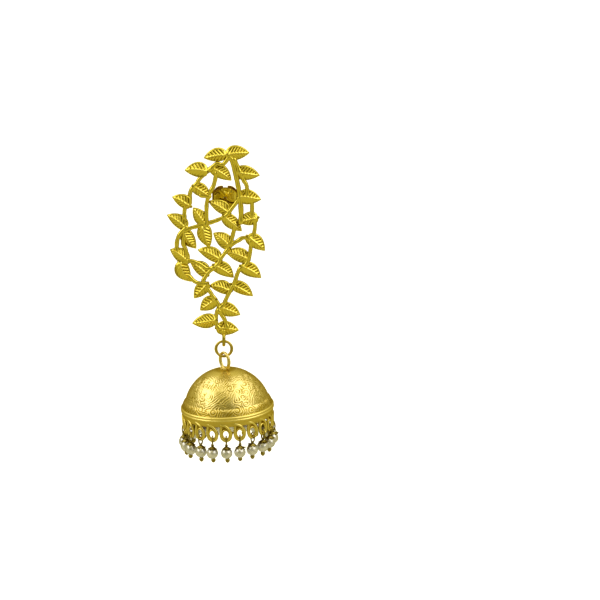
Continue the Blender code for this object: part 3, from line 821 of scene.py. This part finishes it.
def vines(shape):
    for number, (name, shares) in enumerate(VINES.items()):
        radius = (SPINE_WIRE if name == "spine" else VINE_WIRE) / 2 * VINE_FULLNESS
        depth = VINE_WIRE / 2 + layer(number + 0.5) / 2
        line = smooth_line([on_panel(across, up, depth) for across, up in shares], 6)
        lumps = uneven(line, 1.1 * MM, number)
        line[:, 2] += VINE_WANDER * uneven(line, 2.6 * MM, number + 40)
        near = np.minimum(*(np.linalg.norm(line - end, axis=1) for end in (line[0], line[-1])))
        joined = 1 - eased(near, *VINE_JOINT)
        radii = radius * (1 + VINE_SPREAD * joined) * (1 + VINE_LUMPS * lumps)
        shape.wire(line, radii, (0, 1, 0), 16, 0.85, relief_and_shade=0.5, flank_shade=1.3)


def eyelet(shape):
    top = eyelet_top()
    ring = oval((0, 1, 0), (0, 0, 1), EYELET_DEPTH, EYELET_HEIGHT, 36)
    ring += top - Vector((0, 0, EYELET_HEIGHT / 2))
    shape.wire(ring, EYELET_WIRE / 2, (1, 0, 0), 14, closed=True, relief_and_shade=-0.3)
    shares = np.linspace(0, 1, 8)
    heights = (1 - shares) * LEAF_WIDTH * 0.25 - shares * EYELET_WIRE * 0.2
    line = [top + Vector((0, 0, height)) for height in heights]
    waist = 1 - 0.22 * np.sin(math.pi * shares**0.8)
    shape.wire(line, EYELET_NECK / 2 * waist, (1, 0, 0), 14, relief_and_shade=0.2)


def ear_post(shape):
    """The post, with its groove near the end and a fillet of solder where it meets the leaf."""
    radius = POST_DIAMETER / 2
    share = np.linspace(0, 1, 7)
    spread = radius + FILLET_SPREAD * (1 - share) ** 2.2
    fillet = np.stack([spread, FILLET_LENGTH * share - FILLET_SINK], axis=1)
    waist = radius - POST_GROOVE_DEPTH * np.sin(math.pi * share)
    groove = np.stack([waist, POST_LENGTH - radius * (4 - share)], axis=1)
    end = arc(radius, 0, 75, 4) * (1, 0.5) + (0, POST_LENGTH - radius / 2)
    shape.turned(np.concatenate([fillet, groove, end]), 28, BACKWARDS, relief_and_shade=0.1)


def leaf_panel(finish):
    """The leaves, and the vines that carry them, with the loop below and the post behind."""
    leaves = Shape()
    for number in range(len(LEAVES)):
        struck_leaf(leaves, number)
        leaf_stalk(leaves, number)
    leaves.build("leaves", finish, "panel", ["leaf_panel"])
    stems = Shape()
    vines(stems)
    eyelet(stems)
    stems.build("vines_and_loop", finish, "panel", ["leaf_panel"])
    post = Shape()
    ear_post(post)
    post.build("post", finish, "panel", ["leaf_panel"])


# Clutch
def clutch_line():
    """The bent strip seen from above, from the left curl's end to the right one's."""
    post_gap = POST_DIAMETER / 2 + CLUTCH_PLAY + CLUTCH_SHEET / 2
    flat = CLUTCH_WIDTH / 2 - CLUTCH_CURL - CLUTCH_SHEET / 2
    curl = arc(CLUTCH_CURL, -90, 120, 15) + (flat, CLUTCH_CURL)
    front = [(flat * share, 0) for share in (0.15, 0.4, 0.7)]
    right = np.concatenate([front, curl, [(post_gap, curl[-1, 1] - 0.45 * CLUTCH_CURL)]])
    return np.concatenate([right[::-1] * (-1, 1), right])


def near_line(x, up, line):
    """How far each place lies from a line of points, in the same units."""
    nearest = np.full(x.shape, np.inf)
    for (from_x, from_up), (to_x, to_up) in zip(line, line[1:]):
        run, rise = to_x - from_x, to_up - from_up
        share = np.clip(((x - from_x) * run + (up - from_up) * rise) / (run**2 + rise**2), 0, 1)
        apart = np.hypot(x - from_x - share * run, up - from_up - share * rise)
        nearest = np.minimum(nearest, apart)
    return nearest


def stamping(x, up):
    """The height and the relief stamped into the clutch's front, at places on it in mm. Ridges are
    lighter and grooves darker, with painted shade over the left scroll and round the rim.
    """
    x, up = np.broadcast_arrays(x, up)
    height = sum(
        mark.height * np.exp(-((near_line(x, up, mark.line) / mark.width) ** 2))
        for mark in CLUTCH_MARKS
    )
    scroll_shade = 1 - eased(x, *CLUTCH_SCROLL_SHADE)
    edge = eased(np.hypot(2 * x / CLUTCH_WIDTH, 2 * up / CLUTCH_HEIGHT) * MM, 0.86, 0.98)
    return height, 0.5 + CLUTCH_TONE * height - 0.62 * scroll_shade - 1.4 * edge


def clutch(finish):
    """A bent strip of sheet with rounded wings and a stamped front, bored for the post."""
    line = smooth_line([(x, y, 0) for x, y in clutch_line()], 5)
    normal = np.cross((0, 0, 1), unit(np.gradient(line, axis=0)))
    reach = 1.02 * CLUTCH_WIDTH / 2
    half = CLUTCH_HEIGHT / 2 * np.sqrt(np.maximum(1 - (line[:, :1] / reach) ** 2, 0.02))
    rim = CLUTCH_SHEET / 2
    levels = np.linspace(-1, 1, 49)
    front = [(level, -1) for level in levels]
    back = [(level, 1) for level in levels[::-4]]
    level, face = np.array([*front, (1, 0), *back, (-1, 0)], float).T
    is_front = (face < 0) & (np.abs(line[:, 1:2]) < CLUTCH_FLAT)
    up = level * (half - rim) + rim * (1 - np.abs(face)) * np.sign(level)
    struck, tone = stamping(line[:, :1] / MM, up / MM)
    out = face * rim * np.where(np.abs(level) > 0.99, 0.75, 1) - is_front * struck * MM
    rings = line[:, None] + normal[:, None] * out[..., None]
    rings[..., 2] += up
    carrier = Matrix.Translation((0, CLUTCH_REACH - CLUTCH_CURL, 0))
    shape = Shape()
    # Painted shade: the wings and the back take a deep tone
    shape.skin(rings, np.where(is_front, tone, -0.9), carrier)
    piece = shape.build("clutch", finish, "clutch", ["ear_clutch"])
    drill(piece, carrier, POST_DIAMETER / 2 + CLUTCH_PLAY / 4, CLUTCH_CURL * 4)


def drill(piece, carrier, radius, reach):
    """Bores a round hole along Y through a piece."""
    tool = Shape()
    tool.turned([(radius, -reach), (radius, reach)], 24, carrier @ BACKWARDS)
    cutter = placed("drill", tool.mesh("drill"))
    bore = piece.modifiers.new("Bore", "BOOLEAN")
    bore.operation = "DIFFERENCE"
    bore.object = cutter
    bpy.context.view_layer.update()
    graph = bpy.context.evaluated_depsgraph_get()
    bored = bpy.data.meshes.new_from_object(piece.evaluated_get(graph))
    piece.modifiers.clear()
    piece.data = bored
    bpy.data.objects.remove(cutter)


# Jump ring
def ring_centre():
    rise = EYELET_WIRE / 2 + LINK_PLAY + RING_WIRE / 2
    return eyelet_top() + Vector((0, 0, rise - RING_RADIUS - EYELET_HEIGHT))


def worn_link(turns, fullness):
    """A link's fullness round its line, worn thin at the top and bottom where it hangs."""
    return 1 + (fullness - 1) * np.abs(np.sin(turns)) ** 3


def jump_ring(finish):
    """A round ring of wire, with the fine cut where it was closed."""
    shape = Shape()
    start = math.radians(118)
    turns = np.linspace(start + RING_CUT, start + math.tau - RING_CUT, 64)
    line = np.stack([np.sin(turns), turns * 0, np.cos(turns)], axis=-1) * RING_RADIUS
    place = Matrix.Translation(ring_centre())
    radius = RING_WIRE / 2 * worn_link(turns, RING_FULLNESS)
    shape.wire(line, radius, (0, 1, 0), 16, relief_and_shade=-0.4, matrix=place)
    shape.build("closed_ring", finish, "ring", ["jump_ring"])


# Bell, in its own frame: Z along its axis, with 0 at the jump ring's centre
def eye_top():
    return -(RING_RADIUS - RING_WIRE / 2 - LINK_PLAY) + EYE_WIRE / 2


def dome_height():
    """The height of the dome's centre, below the eye that is soldered into its top."""
    return eye_top() - EYE_HEIGHT - DOME_RADIUS


def bell_frame():
    return Matrix.Translation(ring_centre()) @ Matrix.Rotation(-BELL_LEAN, 4, "Y")


def dome_frame():
    return bell_frame() @ Matrix.Translation((0, 0, dome_height()))


def flare():
    """The dome's foot outside, where it spreads to the skirt."""
    height = FLANGE_TOP * np.array((1.0, 0.83, 0.63, 0.45))
    spread = SKIRT_RADIUS - DOME_RADIUS
    reach = DOME_RADIUS + spread * np.array((0, -0.10, 0.55, 1.0))
    reach[0] = math.sqrt(DOME_RADIUS**2 - FLANGE_TOP**2)
    points = np.stack([reach, height, height * 0], axis=1)
    return smooth_line(points, 8)[1:, :2]


def patches():
    """The engraved patches: those of the front, then others spread evenly over the rest."""
    chance = random.Random(7)
    made = list(FRONT_PATCHES)
    for number in range(SPREAD_PATCHES):
        around = 360 * (number * GOLDEN_SHARE % 1) - 180
        sine = LOWEST_SINE + SINE_REACH * (number + 0.5) / SPREAD_PATCHES
        up = math.degrees(math.asin(sine))
        kind = chance.choices(PATCH_KINDS, PATCH_SHARES)[0]
        turn = chance.uniform(0, 180)
        middle = outward(around, up)
        apart = min(middle.angle(outward(patch.around, patch.up)) for patch in FRONT_PATCHES)
        if apart > PATCH_ROOM:
            made.append(Patch(around, up, kind, turn))
    return made


def outward(around, up):
    """The direction out of the bell's middle at these degrees round and up."""
    around, up = math.radians(around), math.radians(up)
    return Vector((math.cos(up) * math.sin(around), -math.cos(up) * math.cos(around), math.sin(up)))


def strokes(kind, across, up):
    """The depth of a patch's cuts from 0 to 1, at places measured from its middle in mm."""
    reach = np.hypot(across, up)
    if kind == "hatch":
        phase = up / HATCH_PITCH
    elif kind == "wave":
        phase = (up + 0.2 * np.sin(across * 3.6)) / WAVE_PITCH
    elif kind == "rings":
        phase = reach / CURL_PITCH
    else:
        phase = reach / CURL_PITCH - np.arctan2(up, across) / math.tau
    return (0.5 + 0.5 * np.cos(math.tau * phase)) ** 1.5


def engraving(points):
    """The depth of the bell's engraving from 0 to 1 at each point."""
    shake = np.stack([uneven(points, PATCH_WAVER, 20 + axis) for axis in range(3)], axis=1)
    directions = unit(points + PATCH_SHAKE * shake)
    cuts, nearness = [], []
    for patch in patches():
        middle = outward(patch.around, patch.up)
        east = Vector((0, 0, 1)).cross(middle).normalized()
        along = Matrix.Rotation(math.radians(patch.turn), 3, middle) @ east
        beside = middle.cross(along)
        scale = DOME_RADIUS / MM
        cuts.append(strokes(patch.kind, directions @ along * scale, directions @ beside * scale))
        nearness.append(directions @ middle)
    nearest = np.argmax(nearness, axis=0)
    chosen = np.array(cuts)[nearest, np.arange(len(points))]
    pressure = np.clip(0.7 + 1.1 * uneven(points, PATCH_WAVER, 31), 0.1, 1.0)
    return chosen * pressure


def dome(finish):
    """The engraved outside, from the eye down to the upper bead."""
    low = math.degrees(math.asin(FLANGE_TOP / DOME_RADIUS))
    profile = np.concatenate([arc(DOME_RADIUS, 89.3, low, 112), flare()])
    ahead = unit(np.gradient(profile, axis=0))
    rings = revolved(profile, DOME_COLUMNS)
    points = rings.reshape(-1, 3)
    normals = revolved(ahead[:, ::-1] * (-1, 1), DOME_COLUMNS).reshape(-1, 3)
    cut = engraving(points) * eased(points[:, 2], *ENGRAVING_FOOT) * eased(points[:, 2], *ENGRAVING_TOP)
    worn = np.clip(0.8 + 0.5 * uneven(points, 4.5 * MM, 3), 0.35, 1.0)
    beaten = BEATEN_DEPTH * uneven(points, 2.4 * MM, 9)
    points = points + normals * (beaten - ENGRAVING_DEPTH * cut * worn)[:, None]
    shaded = 0.6 * (1 - eased(points[:, 2], *FLARE_SHADE))
    shaded += 0.9 * (1 - eased(np.hypot(points[:, 0], points[:, 1]), *EYE_SHADE))
    tone = (0.35 - 1.3 * cut - shaded).reshape(rings.shape[:2])
    shape = Shape()
    shape.skin(points.reshape(rings.shape), tone, dome_frame(), caps=(0,))
    shape.build("engraved_dome", finish, "bell", ["bell"])


def bead(height):
    """A bead line's outer half, as (radius, height) points from top to bottom."""
    return arc(BEAD_WIRE / 2, 62, -62, 9) + (SKIRT_RADIUS - BEAD_SINK, height)


def beaded_band(finish):
    """The two bead lines and the band below them, outside."""
    upper, lower = (FLANGE_TOP * share for share in BEAD_HEIGHTS)
    profile = np.concatenate([
        [(SKIRT_RADIUS - BEAD_SEAT, FLANGE_TOP / 2)],
        bead(upper),
        bead(lower),
        [(SKIRT_RADIUS, BEAD_SEAT), (SKIRT_RADIUS + BAND_SWELL, -0.3 * SKIRT_DROP)],
        [(SKIRT_RADIUS, -0.85 * SKIRT_DROP), (SKIRT_RADIUS - BAND_ROUNDING, -SKIRT_DROP)],
        [(SKIRT_RADIUS - DOME_WALL + BAND_ROUNDING, -SKIRT_DROP)],
    ])
    steps = 240
    dents = uneven(oval((1, 0, 0), (0, 1, 0), 2, 2, steps), BAND_DENT_SIZE, 5)
    # The bead lines' outer faces take a high tone for a pale painted highlight; the band below is
    # darker
    tone = np.where(profile[:, :1] > SKIRT_RADIUS + BAND_ROUNDING, 0.9, -0.2)
    shape = Shape()
    shape.turned(profile, steps, dome_frame(), tone, 1 + BAND_DENTS * dents, caps=())
    shape.build("beaded_band", finish, "bell", ["bell"])


def lining(finish):
    """The bell's plain hollow inside."""
    radius = SKIRT_RADIUS - DOME_WALL
    low = 0.8 * math.degrees(math.asin(FLANGE_TOP / DOME_RADIUS))
    profile = np.concatenate([
        [(radius + BAND_ROUNDING, -SKIRT_DROP), (radius, -0.9 * SKIRT_DROP)],
        [(radius, FLANGE_TOP / 3)],
        arc(DOME_RADIUS - DOME_WALL, low, 89, 26),
    ])
    shape = Shape()
    # Painted shade: the inside takes a low tone as well as its darker gold
    shape.turned(profile, 120, dome_frame(), relief_and_shade=-0.3, caps=(-1,))
    shape.build("bell_inside", finish, "bell", ["bell"])


def eye(finish):
    """The oval wire eye, with the mound and drops of solder at its foot."""
    shape = Shape()
    direction = (math.cos(EYE_TURN), math.sin(EYE_TURN), 0)
    normal = (-math.sin(EYE_TURN), math.cos(EYE_TURN), 0)
    steps = 44
    ring = oval(direction, (0, 0, 1), EYE_WIDTH, EYE_HEIGHT, steps)
    ring += (0, 0, eye_top() - EYE_HEIGHT / 2)
    wire = EYE_WIRE / 2 * worn_link(math.tau * np.arange(steps) / steps, EYE_FULLNESS)
    shape.wire(ring, wire, normal, 14, closed=True, relief_and_shade=0.2, matrix=bell_frame())
    share = np.linspace(0, 1, 8)
    spread = MOUND_TOP + MOUND_SPREAD * (1 - share) ** 1.4
    rise = DOME_RADIUS - MOUND_SINK + MOUND_HEIGHT * share
    shape.turned(np.stack([spread, rise], axis=1), 40, dome_frame(), relief_and_shade=0.2)
    chance = random.Random(11)
    for number in range(SOLDER_DROPS):
        turn = math.tau * number / SOLDER_DROPS + chance.uniform(-0.3, 0.3)
        reach = chance.uniform(0.7, 1.15) * MM
        rise = math.sqrt(DOME_RADIUS**2 - reach**2) + SOLDER_RISE
        place = dome_frame() @ Vector((reach * math.sin(turn), -reach * math.cos(turn), rise))
        size = chance.uniform(0.3, 0.48) * MM
        shape.blob(place, (size, size * 0.9, size * 0.8))
    shape.build("eye_wire", finish, "bell", ["bell"])


# Hoops
def hoop_radius():
    return SKIRT_RADIUS - HOOP_SHEET / 2 - DOME_WALL * 0.2


def hoop_bottom():
    return -SKIRT_DROP - HOOP_REACH


def rim_frame(index, radius, height):
    """The frame of one hoop: its own X along the rim, and Y inwards."""
    turn = Matrix.Rotation(BELL_TURN + math.tau * index / HOOP_COUNT, 4, "Z")
    return turn @ Matrix.Translation((0, -radius, height))


def hoop(shape, index):
    """A loop of wire whose right end sweeps over its left one, round a wired hole in a web."""
    matrix = dome_frame() @ rim_frame(index, hoop_radius(), hoop_bottom())
    facing = (0, 1, 0)
    size = (HOOP_WIDTH, -HOOP_SHEET, HOOP_HEIGHT)
    sweep = smooth_line([(point.across, point.forward, point.up) for point in HOOP_LINE], 4) * size
    # The sweep's high tone makes a pale painted highlight along it, with painted shade on its flanks
    shape.wire(sweep, HOOP_OUTER_WIRE / 2, facing, 12, 0.9, relief_and_shade=0.8, flank_shade=1.2, matrix=matrix)
    across = (math.cos(HOOP_TILT), 0, -math.sin(HOOP_TILT))
    up = (math.sin(HOOP_TILT), 0, math.cos(HOOP_TILT))
    steps = 28
    width, height = HOOP_HOLE_WIDTH + HOOP_INNER_WIRE, HOOP_HOLE_HEIGHT + HOOP_INNER_WIRE
    rim = oval(across, up, width, height, steps) + (0, 0, HOOP_SOLE + HOOP_HOLE_HEIGHT / 2)
    shape.wire(rim, HOOP_INNER_WIRE / 2, facing, 8, 0.9, closed=True, relief_and_shade=0.2, matrix=matrix)
    low, high = (share * HOOP_HEIGHT for share in WEB_REACH)
    edge = oval((1, 0, 0), (0, 0, 1), WEB_WIDTH * HOOP_WIDTH, high - low, steps)
    edge += (0, 0, (low + high) / 2)
    out = np.array((0, WEB_SHEET / 2, 0))
    web = np.stack([rim - out, edge - out, edge + out, rim + out])
    # Painted shade: the web, set back between the wires, is darkened
    shape.skin(web, -1.1, matrix, closed=True, caps=())


def hoops(finish):
    shape = Shape()
    for index in range(HOOP_COUNT):
        hoop(shape, index)
    shape.build("hoops", finish, "bell", ["bell"])


# Pearl drops, each in its own frame with the foot of its hoop's hole at the origin
def loop_top():
    return PIN_PLAY + PIN_WIRE / 2


def loop_bottom():
    return loop_top() - (PIN_LOOP_HEIGHT - PIN_WIRE)


def pearl_centre():
    rise = math.sqrt(max(0.0, PEARL_DIAMETER**2 - CAP_WIDTH**2)) / 2
    return loop_bottom() - CAP_HEIGHT - PEARL_PLAY - rise + PIN_WIRE / 2


def drop_frame(index):
    """On the hole of its hoop, turned and leaning a little as it hangs."""
    drop = DROPS[index]
    seat = rim_frame(index, hoop_radius(), hoop_bottom() + HOOP_SOLE)
    at = (dome_frame() @ seat).translation
    turn = BELL_TURN + math.tau * index / HOOP_COUNT + math.radians(drop.turn)
    lean = Matrix.Rotation(math.radians(drop.lean), 4, "Y")
    tip = Matrix.Rotation(math.radians(drop.tip), 4, "X")
    return Matrix.Translation(at) @ Matrix.Rotation(turn, 4, "Z") @ lean @ tip


def pin_loop(shape, frame, chance):
    """The long loop of thin wire, whose tail is wound round its foot."""
    width, height = PIN_LOOP_WIDTH - PIN_WIRE, PIN_LOOP_HEIGHT - PIN_WIRE
    ring = oval((0, 1, 0), (0, 0, 1), width, height, 26) + (0, 0, loop_top() - height / 2)
    shape.wire(ring, PIN_WIRE / 2, (1, 0, 0), 8, closed=True, matrix=frame)
    share = np.linspace(0, 1, 22)
    turns = math.tau * COIL_TURNS * share + chance.uniform(0, math.tau)
    rise = loop_bottom() + COIL_FOOT + COIL_HEIGHT * share
    coil = np.stack([COIL_RADIUS * np.cos(turns), COIL_RADIUS * np.sin(turns), rise], axis=-1)
    shape.wire(coil, PIN_WIRE * 0.4, (0, 0, 1), 7, matrix=frame)


def bead_cap(shape, frame, chance):
    """A ragged cap of petals that sits on the pearl and flares at its tips."""
    steps, rows = 48, 9
    turns = math.tau * np.arange(steps) / steps
    start = chance.uniform(0, math.tau)
    petal = np.abs(np.cos(CAP_PETALS * (turns + start) / 2)) ** 0.7
    ragged = 1 + 0.5 * np.array([noise.noise(Vector((turn * 1.6, start, 0))) for turn in turns])
    side = chance.uniform(0, math.tau)
    bent = np.maximum(0, np.cos(turns - side)) ** 2 * chance.uniform(0.2, 0.5)
    share = np.linspace(0, 1, rows)[:, None]
    reach = PIN_WIRE + (CAP_WIDTH * CAP_SPREAD / 2 - PIN_WIRE) * share**0.85
    edge = 1 + (0.5 * (petal - 0.7) + bent) * ragged * share**3
    drop = CAP_HEIGHT * (0.3 + 0.68 * share * (1 - 0.7 * bent * share**3))
    skins = []
    for inset in (0, CAP_SHEET):
        radius = (reach - inset) * edge
        height = loop_bottom() + PIN_WIRE / 2 - drop - inset * 0.6
        skins.append(np.stack([radius * np.cos(turns), radius * np.sin(turns), height], axis=-1))
    rings = np.concatenate([skins[0], skins[1][::-1]])
    tone = 0.2 - 0.6 * np.arange(2 * rows)[:, None] / rows
    shape.skin(rings, tone, frame, closed=True, caps=())


def pin_shank(shape, frame, chance):
    """The wire through the pearl, and the drawn bead of metal at its lower end."""
    top = loop_bottom()
    bottom = pearl_centre() - PEARL_DIAMETER / 2 - PEARL_PLAY
    line = [(0, 0, height) for height in (top, (top + bottom) / 2, bottom)]
    shape.wire(line, PIN_WIRE / 2, (1, 0, 0), 8, matrix=frame)
    offset = Vector((chance.uniform(-0.12, 0.3), chance.uniform(-0.1, 0.1), 0)) * MM
    share = np.linspace(0.02, 0.99, 12)
    radius = KNOB_WIDTH / 2 * KNOB_FULLNESS * np.sin(math.pi * share**0.85) ** 0.5
    length = KNOB_HEIGHT * chance.uniform(0.75, 1.0) + KNOB_LAP
    profile = np.stack([radius, bottom + KNOB_LAP - length * share], axis=1)
    shape.turned(profile, 16, frame @ Matrix.Translation(offset), relief_and_shade=0.1)


def pearl(shape, frame, index):
    """A drilled pearl, very slightly off round."""
    edge = 90 - math.degrees(math.asin(PEARL_BORE / PEARL_DIAMETER))
    profile = arc(PEARL_DIAMETER / 2 * PEARL_FULLNESS, edge, -edge, 26) + (0, pearl_centre())
    bore = [(PEARL_BORE / 2, height) for height in (profile[-1, 1], profile[0, 1])]
    steps = 36
    wobble = 1 + 0.008 * np.cos(2 * math.tau * np.arange(steps) / steps + index)
    shape.turned(np.concatenate([profile, bore]), steps, frame, wobble=wobble, caps=())


def drops(pin_finish, pearl_finish):
    for index in range(HOOP_COUNT):
        chance = random.Random(100 + index)
        frame = drop_frame(index)
        number = f"{index + 1:02d}"
        pin = Shape()
        pin_loop(pin, frame, chance)
        bead_cap(pin, frame, chance)
        pin_shank(pin, frame, chance)
        pin.build(f"pin_{number}", pin_finish, "bell", [f"head_pin_{number}"])
        ball = Shape()
        pearl(ball, frame, index)
        ball.build(f"bead_{number}", pearl_finish, "bell", [f"pearl_{number}"])


# Floor, light and camera
def photo_view():
    """The directions to the right, up and towards the viewer in the photograph."""
    rise = CAMERA_RISE
    right = Vector((1, 0, 0))
    up = Vector((0, math.sin(rise), math.cos(rise)))
    back = Vector((0, -math.cos(rise), math.sin(rise)))
    return right, up, back


def camera():
    right, up, back = photo_view()
    scale = MM / PIXELS_PER_MM
    centre = PHOTO_SIDE / 2
    target = right * ((centre - ORIGIN_PIXEL[0]) * scale) + up * ((ORIGIN_PIXEL[1] - centre) * scale)
    lens = bpy.data.cameras.new("camera")
    lens.sensor_width = SENSOR
    lens.lens = SENSOR * CAMERA_DISTANCE / (PHOTO_SIDE * scale)
    lens.clip_end = 40
    eyepoint = placed("camera", lens)
    eyepoint.location = target + back * CAMERA_DISTANCE
    eyepoint.rotation_euler = back.to_track_quat("Z", "Y").to_euler()
    bpy.context.scene.camera = eyepoint


# Two softboxes run from low in front to high behind, one on each side of the viewer, and a
# weaker one hangs overhead
Softbox = namedtuple("Softbox", "low high width brightness")
SOFTBOXES = (
    Softbox((-0.74, -0.60, 0.29), (-0.458, 0.47, 0.755), 0.30, 1.35),
    Softbox((0.62, -0.73, 0.288), (0.36, 0.38, 0.85), 0.40, 1.1),
    Softbox((0.0, -0.45, 0.89), (0.0, 0.09, 0.996), 0.28, 0.5),
)
SOFTBOX_DISTANCE = 0.5
SOFTBOX_AIM = Vector((0, 0, -0.045))
SOFTBOX_COLOUR = (1.0, 0.98, 1.1)
SURROUNDING_COLOUR = (1, 0.90, 0.34, 1)
FLOOR_REACH = 9.0
FLOOR_LEVEL = -0.16


def softboxes():
    for number, box in enumerate(SOFTBOXES):
        low, high = Vector(box.low).normalized(), Vector(box.high).normalized()
        direction = (low + high).normalized()
        along = (high - low).normalized()
        lamp = bpy.data.lights.new(f"softbox_{number + 1}", "AREA")
        lamp.shape = "RECTANGLE"
        lamp.size = box.width
        lamp.size_y = 2 * SOFTBOX_DISTANCE * math.tan(low.angle(high) / 2)
        lamp.energy = box.brightness * math.pi * lamp.size * lamp.size_y
        lamp.color = SOFTBOX_COLOUR
        softbox = placed(f"softbox_{number + 1}", lamp)
        softbox.location = SOFTBOX_AIM + direction * SOFTBOX_DISTANCE
        turn = Matrix((along.cross(direction), along, direction)).transposed()
        softbox.rotation_euler = turn.to_euler()
        softbox.visible_camera = False


def surroundings():
    """Pale all round and behind, and darker low down and in front, where the viewer stands."""
    world = bpy.data.worlds.new("surroundings")
    bpy.context.scene.world = world
    finish = Finish(world)
    way = finish.node("ShaderNodeTexCoord", output="Generated")
    back = tuple(photo_view()[2])
    depth = finish.node("ShaderNodeSeparateXYZ", None, {0: way}, output="Y")
    rise = finish.node("ShaderNodeSeparateXYZ", None, {0: way}, output="Z")
    dot = {"operation": "DOT_PRODUCT"}
    facing = finish.node("ShaderNodeVectorMath", dot, {0: way, 1: back}, output="Value")
    light = 0.5 + 0.2 * rise.eased(0.1, 0.9) - 0.06 * depth.eased(0.2, 0.85)
    light = light * (1 - 0.55 * facing.eased(0.65, 1.0))
    sockets = {"Color": SURROUNDING_COLOUR, "Strength": light}
    shade = finish.node("ShaderNodeBackground", None, sockets)
    finish.node("ShaderNodeOutputWorld", None, {"Surface": shade})


def floor():
    """A plain pale floor, far enough down to take no shadow in the picture."""
    mesh = bpy.data.meshes.new("floor")
    reach = FLOOR_REACH
    corners = [(-reach, -reach), (reach, -reach), (reach, reach), (-reach, reach)]
    mesh.from_pydata([(x, y, FLOOR_LEVEL) for x, y in corners], [], [(0, 1, 2, 3)])
    pale = new_finish("floor").surface(
        base_color=(0.9, 0.9, 0.9, 1),
        roughness=1.0,
        emission_color=(1, 1, 1, 1),
        emission_strength=0.85,
    )
    mesh.materials.append(pale)
    ground = placed("floor", mesh)
    ground.visible_glossy = False


def main():
    bpy.context.scene.view_settings.view_transform = "Standard"
    camera()
    softboxes()
    surroundings()
    floor()
    gold = {name: gilt(name) for name in GILDINGS}
    leaf_panel(gold["panel"])
    clutch(gold["clutch"])
    jump_ring(gold["hoop"])
    dome(gold["bell"])
    beaded_band(gold["band"])
    lining(gold["inside"])
    eye(gold["bell"])
    hoops(gold["hoop"])
    drops(gold["pin"], pearl_lustre())


main()
